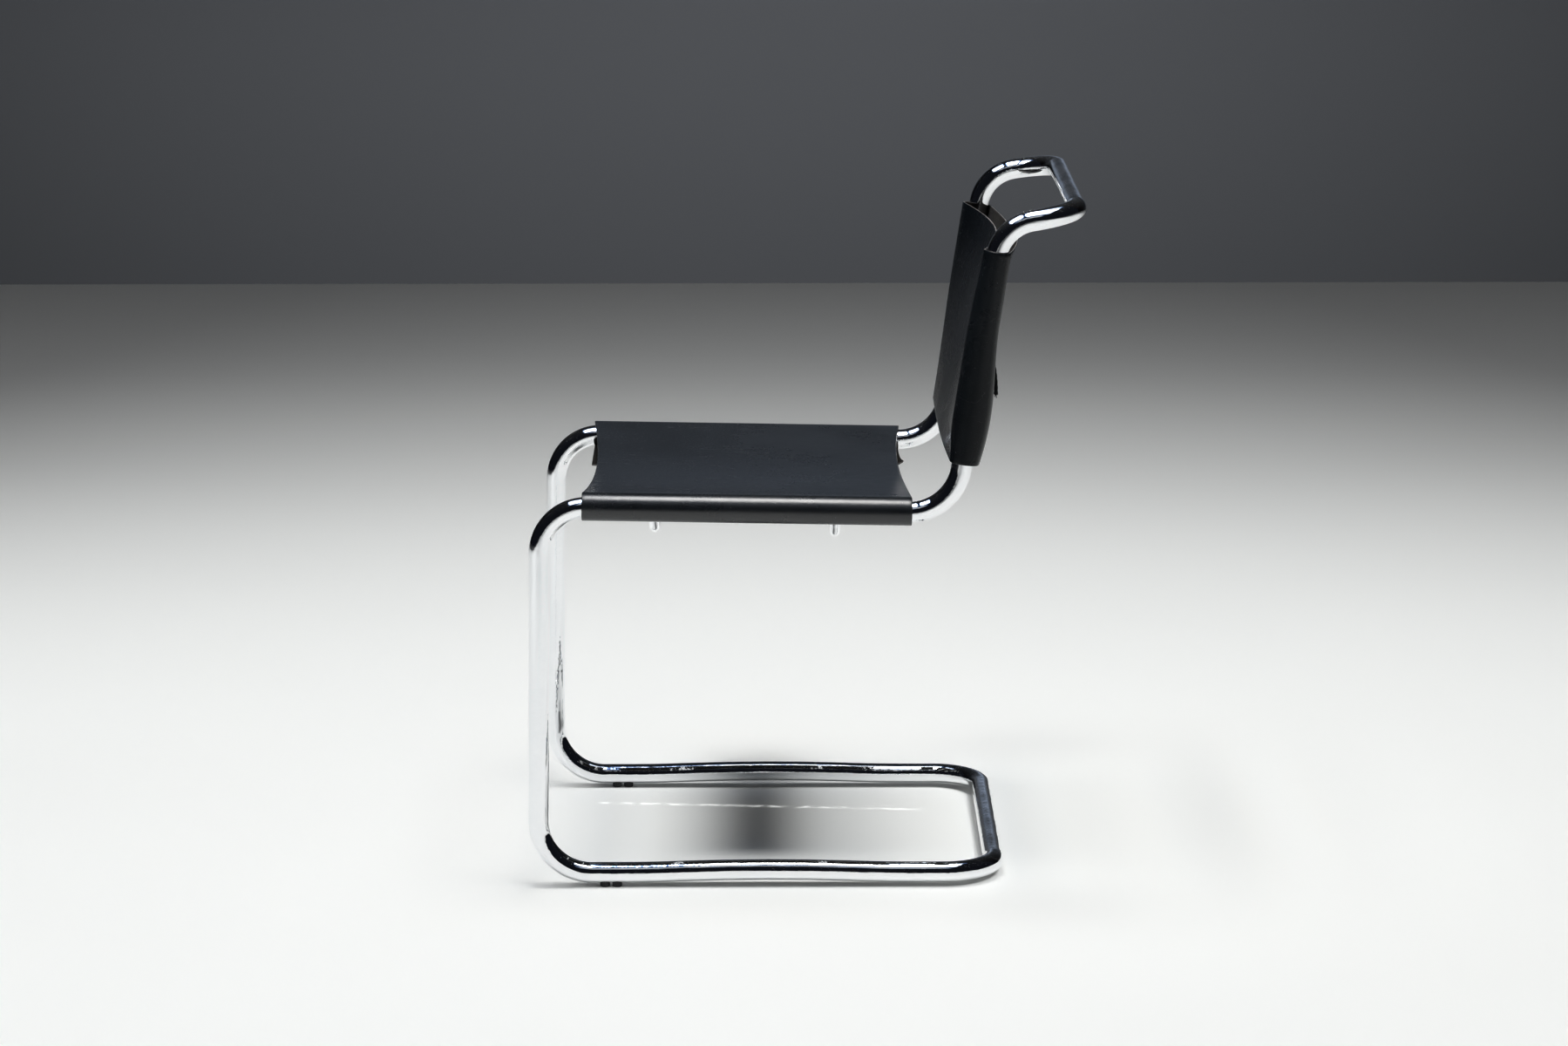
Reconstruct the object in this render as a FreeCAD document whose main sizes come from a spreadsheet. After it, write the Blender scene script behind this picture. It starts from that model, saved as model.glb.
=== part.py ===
import FreeCAD, Part
import math
import os

# Cantilever side chair: one closed loop of bent steel tube, made as two bent
# tubes spliced inside the seat rails, with a laced leather seat and back.
# Axes: +X to the sitter's left, -Y the way the sitter faces, +Z up.
# The origin lies on the floor under the middle of the chair.

doc = FreeCAD.newDocument("cantilever_chair")
Vector = FreeCAD.Vector

# ---------------------------------------------------------------- driving sizes
# Millimetres and degrees.
SIZES = [
    # bent tubes
    ("tube_diameter", 25.0),
    ("tube_wall", 2.5),
    ("frame_width", 456.0),          # between the tube axes of the two sides
    ("base_depth", 553.0),           # front leg axis to rear floor bar axis
    ("floor_gap", 5.0),              # under the floor runners
    ("runner_rise", 4.9),            # of the runner's crown corner
    ("runner_level", 130.0),         # level stretch at each end of a runner
    ("leg_lean", 6.7),               # of the front leg, towards the rear
    ("rail_height", 469.3),          # seat rail axis over the floor, at the front
    ("rail_slope", 1.0),             # down towards the rear
    ("rail_length", 493.4),          # front corner to rear corner
    ("back_lean", 8.8),              # of the uprights from plumb
    ("back_length", 348.7),
    ("arm_rise", 9.0),
    ("arm_length", 92.0),
    ("front_floor_bend", 64.0),
    ("rear_floor_bend", 62.0),
    ("front_top_bend", 57.0),
    ("seat_rear_bend", 63.0),
    ("curl_bend", 52.0),
    ("head_bend", 53.0),
    ("runner_ease_share", 0.2053),   # of the runner's slope, in the bend at its foot
    ("runner_crown_share", 0.6823),  # of the runner's slope, in the bend at its crown
    # splices inside the seat rails
    ("splice_setback", 240.0),       # from the front corner of the rail
    ("sleeve_length", 120.0),
    ("sleeve_wall", 3.0),
    ("sleeve_fit", 0.1),             # radial
    ("screw_spacing", 80.0),         # across the splice
    ("screw_diameter", 3.8),
    ("screw_head", 7.5),
    ("screw_fit", 0.1),              # radial
    ("screw_sink", 0.7),             # of the head under the tube's surface
    ("screw_length", 7.0),
    ("screw_socket", 2.5),           # across flats
    ("screw_socket_depth", 1.4),
    # bowed stretchers under the seat
    ("rod_diameter", 12.5),
    ("rod_bend", 70.0),
    ("front_rod_place", 136.0),      # along the rail from its front corner
    ("rear_rod_place", 352.0),
    ("front_rod_drop", 34.5),
    ("rear_rod_drop", 37.5),
    ("rod_slot_fit", 1.5),           # radial, where a rod passes the leather
    # leather
    ("leather", 3.0),
    ("leather_fit", 0.5),            # radial, round the straight tubes
    ("leather_bend_fit", 0.25),      # radial, where the tubes start to bend
    ("seat_front_place", 51.0),      # along the rail from its front corner
    ("seat_length", 389.5),
    ("seat_sag", 10.0),
    ("seat_flap_droop", 4.2),
    ("seat_flap_gap", 236.0),        # between the two flaps' edges
    ("seat_front_hollow", 9.0),      # of the concave front edge
    ("seat_rear_hollow", 6.5),
    ("back_foot_place", 57.0),       # along the upright from its lower corner
    ("back_sling_length", 263.0),
    ("back_top_sag", 24.0),
    ("back_foot_sag", 2.0),
    ("back_belly_place", 57.0),      # the widest turn of the leather, above its foot
    ("back_top_turn", 18.0),         # radius of the leather's turn behind a tube
    ("back_belly_turn", 25.5),
    ("back_foot_turn", 21.0),
    ("back_top_bulge", 8.0),         # of the rear flaps
    ("back_belly_bulge", 3.0),
    ("back_foot_bulge", 3.0),
    ("back_flap_gap", 120.0),
    # laces
    ("lace_diameter", 3.5),
    ("lace_fit", 0.3),
    ("lace_bend", 2.5),
    ("hole_inset", 12.0),            # of the lace holes from the flap's edge
    ("seat_lace_margin", 27.0),      # first and last rung from the sling's ends
    ("back_lace_margin", 27.0),
    ("lace_return", 9.0),            # the back lace's spare end, beyond the holes
    ("tail_place", 100.0),           # where it comes out, over the back sling's foot
    ("knot_diameter", 8.0),
    ("tail_knot_diameter", 6.0),
    # glides
    ("glide_diameter", 12.0),
    ("glide_chamfer", 1.0),
    ("glide_spacing", 14.7),
    ("glide_stem", 5.0),
    ("glide_stem_reach", 6.0),       # into the tube, from its underside
    ("glide_fit", 0.1),              # radial
    ("front_glide_place", 88.0),     # middle of the pair, behind the leg axis
    ("rear_glide_place", 150.0),     # middle of the pair, from the chair's middle
]
SEAT_RUNGS = 9
BACK_RUNGS = 7

sheet = doc.addObject("Spreadsheet::Sheet", "Sizes")
for row, (alias, value) in enumerate(SIZES, start=1):
    sheet.set(f"A{row}", alias)
    sheet.set(f"B{row}", str(value))
    sheet.setAlias(f"B{row}", alias)
doc.recompute()


def size(alias):
    return float(sheet.get(alias))


# ---------------------------------------------------------------- frame layout
tube_radius = size("tube_diameter") / 2
half_width = size("frame_width") / 2
floor_axis = size("floor_gap") + tube_radius
rail_slope = math.radians(size("rail_slope"))
back_lean = math.radians(size("back_lean"))
arm_rise = math.radians(size("arm_rise"))

rail_ahead = Vector(0, math.cos(rail_slope), -math.sin(rail_slope))   # front to rear
rail_up = Vector(0, math.sin(rail_slope), math.cos(rail_slope))
back_up = Vector(0, math.sin(back_lean), math.cos(back_lean))
back_face = Vector(0, -math.cos(back_lean), math.sin(back_lean))      # to the sitter
arm_ahead = Vector(0, math.cos(arm_rise), math.sin(arm_rise))

# Corners of one side in its own plane, first with the front leg's foot at y = 0.
leg_foot = Vector(0, 0, floor_axis)
rail_front = Vector(0, size("leg_lean"), size("rail_height"))
rail_rear = rail_front + rail_ahead * size("rail_length")
curl = rail_rear + back_up * size("back_length")
head = curl + arm_ahead * size("arm_length")
floor_rear = Vector(0, size("base_depth"), floor_axis)
runner_front = Vector(0, size("runner_level"), floor_axis)
runner_mid = Vector(0, size("base_depth") / 2, floor_axis + size("runner_rise"))
runner_rear = Vector(0, size("base_depth") - size("runner_level"), floor_axis)

# The whole chair is centred fore and aft on the origin.
centring = Vector(0, -head.y / 2, 0)
side_corners = (leg_foot, rail_front, rail_rear, curl, head,
                floor_rear, runner_front, runner_mid, runner_rear)
(leg_foot, rail_front, rail_rear, curl, head,
 floor_rear, runner_front, runner_mid, runner_rear) = [p + centring for p in side_corners]
splice = rail_front + rail_ahead * size("splice_setback")


def on_side(point, side):
    """A point of the side profile, moved out to the left (-1) or right (+1) side."""
    return point + Vector(side * half_width, 0, 0)


# ---------------------------------------------------------------- shared helpers
def rounded_wire(corners, radii):
    """Straight runs between corners, each corner rounded by a tangent arc."""
    edges = []
    start = corners[0]
    for before, corner, after, radius in zip(corners, corners[1:], corners[2:], radii):
        back = (before - corner).normalize()
        onward = (after - corner).normalize()
        half_turn = (math.pi - back.getAngle(onward)) / 2
        reach = radius * math.tan(half_turn)
        arc_start = corner + back * reach
        arc_end = corner + onward * reach
        inward = (back + onward).normalize()
        arc_middle = corner + inward * (radius / math.cos(half_turn) - radius)
        edges.append(Part.LineSegment(start, arc_start).toShape())
        edges.append(Part.Arc(arc_start, arc_middle, arc_end).toShape())
        start = arc_end
    edges.append(Part.LineSegment(start, corners[-1]).toShape())
    return Part.Wire(edges)


def path_feature(name, corners, radii):
    feature = doc.addObject("Part::Feature", name)
    feature.Shape = rounded_wire(corners, radii)
    return feature


def facing(direction):
    """The turn that takes +Z to a direction."""
    return FreeCAD.Rotation(Vector(0, 0, 1), direction)


def bar_along(name, path, radius_expression):
    """A solid round bar swept along a path."""
    first = path.Shape.Edges[0]
    circle = doc.addObject("Part::Circle", name + "_section")
    circle.setExpression("Radius", radius_expression)
    circle.Placement = FreeCAD.Placement(
        first.Vertexes[0].Point, facing(first.tangentAt(first.FirstParameter)))
    sweep = doc.addObject("Part::Sweep", name)
    sweep.Sections = [circle]
    sweep.Spine = path
    sweep.Solid = True
    sweep.Frenet = False
    return sweep


def cylinder(name, base, direction, radius_expression, height_expression):
    """A cylinder that starts at base and runs along direction."""
    solid = doc.addObject("Part::Cylinder", name)
    solid.setExpression("Radius", radius_expression)
    solid.setExpression("Height", height_expression)
    solid.Placement = FreeCAD.Placement(base, facing(direction))
    return solid


def cut(name, base, tool):
    feature = doc.addObject("Part::Cut", name)
    feature.Base = base
    feature.Tool = tool
    return feature


def fuse(name, shapes):
    feature = doc.addObject("Part::MultiFuse", name)
    feature.Shapes = shapes
    return feature


nodes = []


def sub_part(feature, label):
    feature.Label = label
    nodes.append(feature)
    return feature


# ---------------------------------------------------------------- splices
# A sleeve in each seat rail joins the two tubes. Two countersunk screws per
# sleeve come up from the rail's underside, where the leather hides them.
sleeve_out = "(Sizes.tube_diameter / 2 - Sizes.tube_wall - Sizes.sleeve_fit)"
screw_places = [on_side(splice, side) + rail_ahead * (end * size("screw_spacing") / 2)
                for side in (-1, 1) for end in (-1, 1)]
head_face = tube_radius - size("screw_sink")          # from the rail's axis
head_depth = (size("screw_head") - size("screw_diameter")) / 2


def screw_pocket(index, place):
    """Clearance for one screw: shank hole, countersink and its open mouth."""
    down = -rail_up
    shank = cylinder(f"screw_hole_{index}", place, down,
                     "Sizes.screw_diameter / 2 + Sizes.screw_fit", "Sizes.tube_diameter")
    sink = doc.addObject("Part::Cone", f"countersink_{index}")
    sink.setExpression("Radius1", "Sizes.screw_diameter / 2 + Sizes.screw_fit")
    sink.setExpression("Radius2", "Sizes.screw_head / 2 + Sizes.screw_fit")
    sink.setExpression("Height", "(Sizes.screw_head - Sizes.screw_diameter) / 2")
    sink.Placement = FreeCAD.Placement(
        place + down * (head_face - head_depth), facing(down))
    mouth = cylinder(f"screw_mouth_{index}", place + down * head_face, down,
                     "Sizes.screw_head / 2 + Sizes.screw_fit", "Sizes.tube_diameter / 2")
    return fuse(f"screw_pocket_{index}", [shank, sink, mouth])


def screw(index, place):
    """Countersunk screw with a hexagon socket, its head just inside the tube wall."""
    down = -rail_up
    shank = cylinder(f"screw_shank_{index}",
                     place + down * (head_face - size("screw_length")), down,
                     "Sizes.screw_diameter / 2", "Sizes.screw_length")
    cone = doc.addObject("Part::Cone", f"screw_cone_{index}")
    cone.setExpression("Radius1", "Sizes.screw_diameter / 2")
    cone.setExpression("Radius2", "Sizes.screw_head / 2")
    cone.setExpression("Height", "(Sizes.screw_head - Sizes.screw_diameter) / 2")
    cone.Placement = FreeCAD.Placement(
        place + down * (head_face - head_depth), facing(down))
    socket = doc.addObject("Part::Prism", f"screw_socket_{index}")
    socket.Polygon = 6
    socket.setExpression("Circumradius", "Sizes.screw_socket / 2 / cos(30 deg)")
    socket.setExpression("Height", "Sizes.screw_socket_depth")
    socket.Placement = FreeCAD.Placement(
        place + down * (head_face - size("screw_socket_depth")), facing(down))
    return cut(f"screw_{index}", fuse(f"screw_blank_{index}", [shank, cone]), socket)


screw_pockets = [screw_pocket(i, place) for i, place in enumerate(screw_places)]
sub_part(fuse("splice_screws", [screw(i, p) for i, p in enumerate(screw_places)]),
         "splice_screws")

for side, word in ((-1, "right"), (1, "left")):
    start = on_side(splice, side) - rail_ahead * (size("sleeve_length") / 2)
    outside = cylinder(f"sleeve_outside_{word}", start, rail_ahead,
                       sleeve_out, "Sizes.sleeve_length")
    bore = cylinder(f"sleeve_bore_{word}", start, rail_ahead,
                    f"{sleeve_out} - Sizes.sleeve_wall", "Sizes.sleeve_length")
    ring = cut(f"sleeve_ring_{word}", outside, bore)
    pockets = screw_pockets[:2] if side < 0 else screw_pockets[2:]
    drilled = cut(f"sleeve_{word}", ring, fuse(f"sleeve_pockets_{word}", pockets))
    sub_part(drilled, f"splice_sleeve_{word}")

# ---------------------------------------------------------------- base tube
base_half = [splice, rail_front, leg_foot, runner_front, runner_mid, runner_rear, floor_rear]
runner_slope = runner_mid - runner_front
runner_pitch = math.atan(size("runner_rise") / runner_slope.y)
runner_ease = size("runner_ease_share") * runner_slope.Length / math.tan(runner_pitch / 2)
runner_crown = size("runner_crown_share") * runner_slope.Length / math.tan(runner_pitch)
base_bends = [size("front_top_bend"), size("front_floor_bend"), runner_ease, runner_crown,
              runner_ease, size("rear_floor_bend")]
base_path = path_feature(
    "base_path",
    [on_side(p, -1) for p in base_half] + [on_side(p, 1) for p in reversed(base_half)],
    base_bends + base_bends[::-1])
base_bar = bar_along("base_bar", base_path, "Sizes.tube_diameter / 2")
base_bore = bar_along("base_bore", base_path, "Sizes.tube_diameter / 2 - Sizes.tube_wall")

# Glides stand in pairs: along each runner near the front, and along the rear
# floor bar near its ends.
glide_step = size("glide_spacing") / 2
front_glides = leg_foot + Vector(0, size("front_glide_place"), 0)
rear_bar = Vector(0, floor_rear.y, floor_axis)
glide_places = {}
for side, word in ((-1, "right"), (1, "left")):
    pair = [on_side(front_glides + Vector(0, end * glide_step, 0), side) for end in (-1, 1)]
    glide_places[f"front_{word}_glides"] = pair
    middle = side * size("rear_glide_place")
    glide_places[f"rear_{word}_glides"] = [
        rear_bar + Vector(middle + end * glide_step, 0, 0) for end in (-1, 1)]

glide_holes = [
    cylinder(f"glide_hole_{label}_{i}", place, Vector(0, 0, -1),
             "Sizes.glide_stem / 2 + Sizes.glide_fit", "Sizes.tube_diameter")
    for label, pair in glide_places.items() for i, place in enumerate(pair)]
base_hollow = cut("base_hollow", base_bar, base_bore)
base_drillings = fuse("base_drillings", glide_holes + [screw_pockets[0], screw_pockets[2]])
sub_part(cut("base_tube", base_hollow, base_drillings), "base_tube")

# ---------------------------------------------------------------- back tube
back_half = [splice, rail_rear, curl, head]
back_bends = [size(alias) for alias in ("seat_rear_bend", "curl_bend", "head_bend")]
back_path = path_feature(
    "back_path",
    [on_side(p, -1) for p in back_half] + [on_side(p, 1) for p in reversed(back_half)],
    back_bends + back_bends[::-1])
back_bar = bar_along("back_bar", back_path, "Sizes.tube_diameter / 2")
back_bore = bar_along("back_bore", back_path, "Sizes.tube_diameter / 2 - Sizes.tube_wall")
back_hollow = cut("back_hollow", back_bar, back_bore)
back_drillings = fuse("back_drillings", [screw_pockets[1], screw_pockets[3]])
sub_part(cut("back_tube", back_hollow, back_drillings), "back_tube")

# ---------------------------------------------------------------- glides
# Rubber plugs: a chamfered foot, saddled to the tube's underside, and a stem
# pushed into a hole in the tube wall.
for label, pair in glide_places.items():
    feet = []
    stems = []
    for i, place in enumerate(pair):
        ground = Vector(place.x, place.y, 0)
        foot = cylinder(f"{label}_foot_{i}", ground + Vector(0, 0, size("glide_chamfer")),
                        Vector(0, 0, 1), "Sizes.glide_diameter / 2",
                        "Sizes.floor_gap + Sizes.tube_diameter / 2 - Sizes.glide_chamfer")
        sole = doc.addObject("Part::Cone", f"{label}_sole_{i}")
        sole.setExpression("Radius1", "Sizes.glide_diameter / 2 - Sizes.glide_chamfer")
        sole.setExpression("Radius2", "Sizes.glide_diameter / 2")
        sole.setExpression("Height", "Sizes.glide_chamfer")
        sole.Placement = FreeCAD.Placement(ground, FreeCAD.Rotation())
        feet += [foot, sole]
        stems.append(cylinder(f"{label}_stem_{i}", ground + Vector(0, 0, size("glide_chamfer")),
                              Vector(0, 0, 1), "Sizes.glide_stem / 2",
                              "Sizes.floor_gap - Sizes.glide_chamfer + Sizes.glide_stem_reach"))
    saddled = cut(f"{label}_saddled", fuse(f"{label}_feet", feet), base_bar)
    sub_part(fuse(label, [saddled] + stems), label)

# ---------------------------------------------------------------- stretchers
# Bowed rods, coped and brazed to the rails, which dip to leave the seat room
# to give under the sitter.
rod_bars = {}
for word, tube in (("front", base_bar), ("rear", back_bar)):
    centre = rail_front + rail_ahead * size(f"{word}_rod_place")
    drop = size(f"{word}_rod_drop")
    corner = centre - Vector(0, 0, drop)
    corners = [on_side(centre, -1), on_side(corner, -1) + Vector(drop, 0, 0),
               on_side(corner, 1) - Vector(drop, 0, 0), on_side(centre, 1)]
    path = path_feature(f"{word}_rod_path", corners, [size("rod_bend")] * 2)
    rod = bar_along(f"{word}_rod_bar", path, "Sizes.rod_diameter / 2")
    rod_bars[word] = bar_along(f"{word}_rod_room", path,
                               "Sizes.rod_diameter / 2 + Sizes.rod_slot_fit")
    sub_part(cut(f"{word}_stretcher", rod, tube), f"{word}_stretcher")

# ---------------------------------------------------------------- slings
wrap_in = tube_radius + size("leather_fit")
wrap_out = wrap_in + size("leather")


def flap_circle(turn, bulge):
    """Where a flap lies: the middle of the leather's turn behind a tube, the middle
    of the flap's own arc, and the distance between the two."""
    turn_across = half_width + wrap_out - turn
    reach = (turn_across ** 2 + bulge ** 2) / (2 * bulge)
    return turn_across, reach - bulge, reach


def flap_height(across, wrap, turn, bulge):
    """Height of a flap's surface over the tubes' plane, negative behind it."""
    _, middle, reach = flap_circle(turn, bulge)
    return middle - math.sqrt((reach + turn - wrap_out + wrap) ** 2 - across ** 2)


def sling_wire(sag, turn, bulge, gap):
    """Outline of a sling across the chair, in a plane square to the two tubes.

    The face dips by sag between the tubes on the sitter's side (+y). The leather
    follows the front and outside of each tube, and turns back behind it by an arc
    of its own radius, turn. The flaps then run towards each other, bowed away from
    the sitter by bulge, as far as the gap between them. Each curve is tangent to
    the next.
    """
    face_reach = (half_width ** 2 + sag ** 2) / (2 * sag)
    to_face = Vector(-half_width / face_reach, (face_reach - sag) / face_reach, 0)
    turn_across, flap_middle, flap_reach = flap_circle(turn, bulge)
    to_flap = Vector(turn_across / flap_reach, -flap_middle / flap_reach, 0)
    outward = Vector(1, 0, 0)

    def flap_point(across, wrap):
        return Vector(across, flap_height(across, wrap, turn, bulge), 0)

    def half_way(first, second):
        return (first + second) / (first + second).Length

    def skin(wrap):
        """The points of one face of the leather, for the side at +x."""
        tube = Vector(half_width, 0, 0)
        turn_middle = Vector(turn_across, 0, 0)
        turn_radius = turn - wrap_out + wrap
        return [Vector(0, wrap - sag, 0), tube + to_face * wrap,
                tube + half_way(to_face, outward) * wrap, tube + outward * wrap,
                turn_middle + half_way(outward, to_flap) * turn_radius,
                turn_middle + to_flap * turn_radius,
                flap_point((half_width + gap / 2) / 2, wrap), flap_point(gap / 2, wrap)]

    def other_side(point):
        return Vector(-point.x, point.y, 0)

    edges = []
    for wrap in (wrap_out, wrap_in):
        face_mid, *points = skin(wrap)
        mirror = [other_side(point) for point in points]
        arcs = [(mirror[0], face_mid, points[0])]
        for side in (points, mirror):
            arcs += [side[0:3], side[2:5], side[4:7]]
        edges += [Part.Arc(*arc).toShape() for arc in arcs]
    for side in (-1, 1):
        ends = [flap_point(side * gap / 2, wrap) for wrap in (wrap_out, wrap_in)]
        edges.append(Part.LineSegment(*ends).toShape())
    return Part.Wire(Part.__sortEdges__(edges))


def sling_frame(origin, up):
    """Local x across the chair, y towards the sitter, at a point of the middle plane."""
    across = Vector(1, 0, 0)
    return FreeCAD.Placement(origin, FreeCAD.Rotation(across, up, across.cross(up)))


def sling_loft(name, outlines):
    """A sling lofted through its outlines: (placement, sag, turn, bulge, gap) each."""
    sections = []
    for i, (placement, *shape) in enumerate(outlines):
        section = doc.addObject("Part::Feature", f"{name}_outline_{i}")
        section.Shape = sling_wire(*shape)
        section.Placement = placement
        sections.append(section)
    loft = doc.addObject("Part::Loft", name)
    loft.Sections = sections
    loft.Solid = True
    loft.Ruled = True
    return loft


seat_start = rail_front + rail_ahead * size("seat_front_place")
seat_end = seat_start + rail_ahead * size("seat_length")
seat_shape = (size("seat_sag"), wrap_out, size("seat_flap_droop"), size("seat_flap_gap"))
seat_blank = sling_loft("seat_blank", [
    (sling_frame(seat_start, rail_up), *seat_shape),
    (sling_frame(seat_end, rail_up), *seat_shape)])

back_foot = rail_rear + back_up * size("back_foot_place")
back_top = back_foot + back_up * size("back_sling_length")
# Outlines of the back, each at its distance below the top: turn and bulge.
back_outlines = [
    (0, size("back_top_turn"), size("back_top_bulge")),
    (size("back_sling_length") - size("back_belly_place"),
     size("back_belly_turn"), size("back_belly_bulge")),
    (size("back_sling_length"), size("back_foot_turn"), size("back_foot_bulge"))]


def back_sag_at(along):
    """Dip of the back's face at a distance below its top."""
    share = along / size("back_sling_length")
    return size("back_top_sag") * (1 - share) + size("back_foot_sag") * share


back_blank = sling_loft("back_blank", [
    (sling_frame(back_top - back_up * along, back_face),
     back_sag_at(along), turn, bulge, size("back_flap_gap"))
    for along, turn, bulge in back_outlines])

# Concave front and rear edges of the seat's face: round cutters as wide as the
# span between the rails. They stand on the rails' axes, clear of the flaps.
hollows = []
for word, edge, outward in (("front", seat_start, -1), ("rear", seat_end, 1)):
    depth = size(f"seat_{word}_hollow")
    half_span = half_width - tube_radius
    cutter_radius = (half_span ** 2 + depth ** 2) / (2 * depth)
    cutter = doc.addObject("Part::Cylinder", f"seat_{word}_cutter")
    cutter.Radius = cutter_radius
    cutter.setExpression("Height", "Sizes.tube_diameter * 2")
    centre = edge + rail_ahead * (outward * (cutter_radius - depth))
    cutter.Placement = FreeCAD.Placement(centre, facing(rail_up))
    hollows.append(cutter)

# ---------------------------------------------------------------- laces
# Each lace is worked as a ladder: rungs cross outside the flaps, and single
# stitches run along inside them from one rung to the next.
lace_room = size("lace_diameter") / 2 + size("lace_fit")
knot_room = size("knot_diameter") / 2 + size("lace_fit")


def ladder(gap, height_at, rungs, side):
    """Corners of a ladder lacing with its rungs at the given places along the sling.

    height_at gives a flap's height from a distance across, a wrap and a place
    along. The lacing starts inside the flap on the given side.
    """
    hole = gap / 2 + size("hole_inset")
    corners = []
    for along in rungs:
        outside = height_at(gap / 2, wrap_out, along) - lace_room
        inside = height_at(hole, wrap_in, along) + lace_room
        corners += [Vector(side * hole, inside, along), Vector(side * hole, outside, along),
                    Vector(-side * hole, outside, along), Vector(-side * hole, inside, along)]
        side = -side
    return corners


def rung_places(length, margin, count):
    """Evenly spaced places along a sling, signed as its length is."""
    step = (abs(length) - 2 * margin) / (count - 1)
    return [math.copysign(margin + i * step, length) for i in range(count)]


def lace_hole(name, placement, corner):
    """A round hole through both faces of a flap, at a corner of the lace's route."""
    across = placement.Rotation.multVec(Vector(0, 1, 0))
    base = placement.multVec(corner) - across * size("tube_diameter") / 2
    return cylinder(name, base, across, "Sizes.lace_diameter / 2 + Sizes.lace_fit",
                    "Sizes.tube_diameter")


def knot(name, centre, diameter):
    ball = doc.addObject("Part::Sphere", name)
    ball.setExpression("Radius", f"Sizes.{diameter} / 2")
    ball.Placement = FreeCAD.Placement(centre, FreeCAD.Rotation())
    return ball


def lace_bar(name, placement, corners):
    path = path_feature(f"{name}_path", [placement.multVec(p) for p in corners],
                        [size("lace_bend")] * (len(corners) - 2))
    return bar_along(f"{name}_bar", path, "Sizes.lace_diameter / 2")


def knot_seat(corner, wrap, height_at, side):
    """Centre of a knot drawn against a flap: side +1 inside the sling, -1 outside."""
    height = height_at(corner.x, wrap, corner.z) + side * knot_room
    return Vector(corner.x, height, corner.z)


# Seat lace, from the front end of the sling to its rear, knotted at both ends.
seat_frame = sling_frame(seat_start, rail_up)
seat_rungs = rung_places(-size("seat_length"), size("seat_lace_margin"), SEAT_RUNGS)


def seat_flap_at(across, wrap, along):
    """Height of the seat's flaps, the same all along."""
    return flap_height(across, wrap, wrap_out, size("seat_flap_droop"))


seat_corners = ladder(size("seat_flap_gap"), seat_flap_at, seat_rungs, -1)
seat_knots = [knot_seat(seat_corners[i], wrap_in, seat_flap_at, 1) for i in (0, -1)]
seat_corners[0], seat_corners[-1] = seat_knots
seat_holes = [lace_hole(f"seat_hole_{i}", seat_frame, corner)
              for i, corner in enumerate(seat_corners[1::4] + seat_corners[2::4])]
seat_lace = fuse("seat_lace_whole", [lace_bar("seat_lace", seat_frame, seat_corners)] + [
    knot(f"seat_knot_{i}", seat_frame.multVec(p), "knot_diameter")
    for i, p in enumerate(seat_knots)])
sub_part(seat_lace, "seat_lace")

# Back lace, from the top of the sling to its foot. Its spare end then runs up
# inside the right flap and comes out through a hole of its own to the last knot.
back_frame = sling_frame(back_top, back_face)


def back_flap_at(across, wrap, along):
    """Height of the back's flaps at a distance below its top, between two outlines."""
    last = along > back_outlines[1][0]
    (upper, *upper_shape), (lower, *lower_shape) = back_outlines[last:last + 2]
    share = (along - upper) / (lower - upper)
    return (flap_height(across, wrap, *upper_shape) * (1 - share)
            + flap_height(across, wrap, *lower_shape) * share)


back_rungs = rung_places(size("back_sling_length"), size("back_lace_margin"), BACK_RUNGS)
back_corners = ladder(size("back_flap_gap"), back_flap_at, back_rungs, 1)
back_corners[0] = knot_seat(back_corners[0], wrap_in, back_flap_at, 1)
spare_across = back_corners[-1].x - size("lace_return")
spare_out = size("back_sling_length") - size("tail_place")


def inside_flap(across, along):
    return Vector(across, back_flap_at(across, wrap_in, along) + lace_room, along)


back_corners += [inside_flap(spare_across, back_rungs[-1]), inside_flap(spare_across, spare_out)]
last_knot = knot_seat(back_corners[-1], wrap_out, back_flap_at, -1)
back_corners.append(last_knot)
rung_ends = back_corners[1:-3:4] + back_corners[2:-3:4]
back_holes = [lace_hole(f"back_hole_{i}", back_frame, corner)
              for i, corner in enumerate(rung_ends + [last_knot])]
last_knot = back_frame.multVec(last_knot)
last_ball = knot("back_knot_last", last_knot, "knot_diameter")
first_ball = knot("back_knot_first", back_frame.multVec(back_corners[0]), "knot_diameter")
sub_part(fuse("back_lace_whole", [lace_bar("back_lace", back_frame, back_corners),
                                  first_ball, last_ball]), "back_lace")

# The tail hangs plumb from the last knot, and ends in a small knot of its own.
TAIL_ROUTE = [(0, 0, 0), (0.5, 3.5, -12), (-0.5, 7.0, -28), (0.5, 9.0, -46), (0, 9.0, -63)]
tail_points = [last_knot + Vector(*step) for step in TAIL_ROUTE]


def free_radii(points):
    """For each inner point, the largest bend that its shorter run allows."""
    radii = []
    for before, point, after in zip(points, points[1:], points[2:]):
        turn = (point - before).getAngle(after - point)
        shorter = min((point - before).Length, (after - point).Length)
        radii.append(0.45 * shorter / math.tan(turn / 2))
    return radii


tail_radii = free_radii(tail_points)
print("tail bends (mm):", [round(radius, 1) for radius in tail_radii])
tail_path = path_feature("tail_path", tail_points, tail_radii)
tail_bar = bar_along("tail_bar", tail_path, "Sizes.lace_diameter / 2")
tail_ball = knot("tail_end_knot", tail_points[-1], "tail_knot_diameter")
sub_part(cut("back_lace_tail", cut("tail_trimmed", tail_bar, last_ball), tail_ball),
         "back_lace_tail")
sub_part(tail_ball, "tail_knot")

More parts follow.
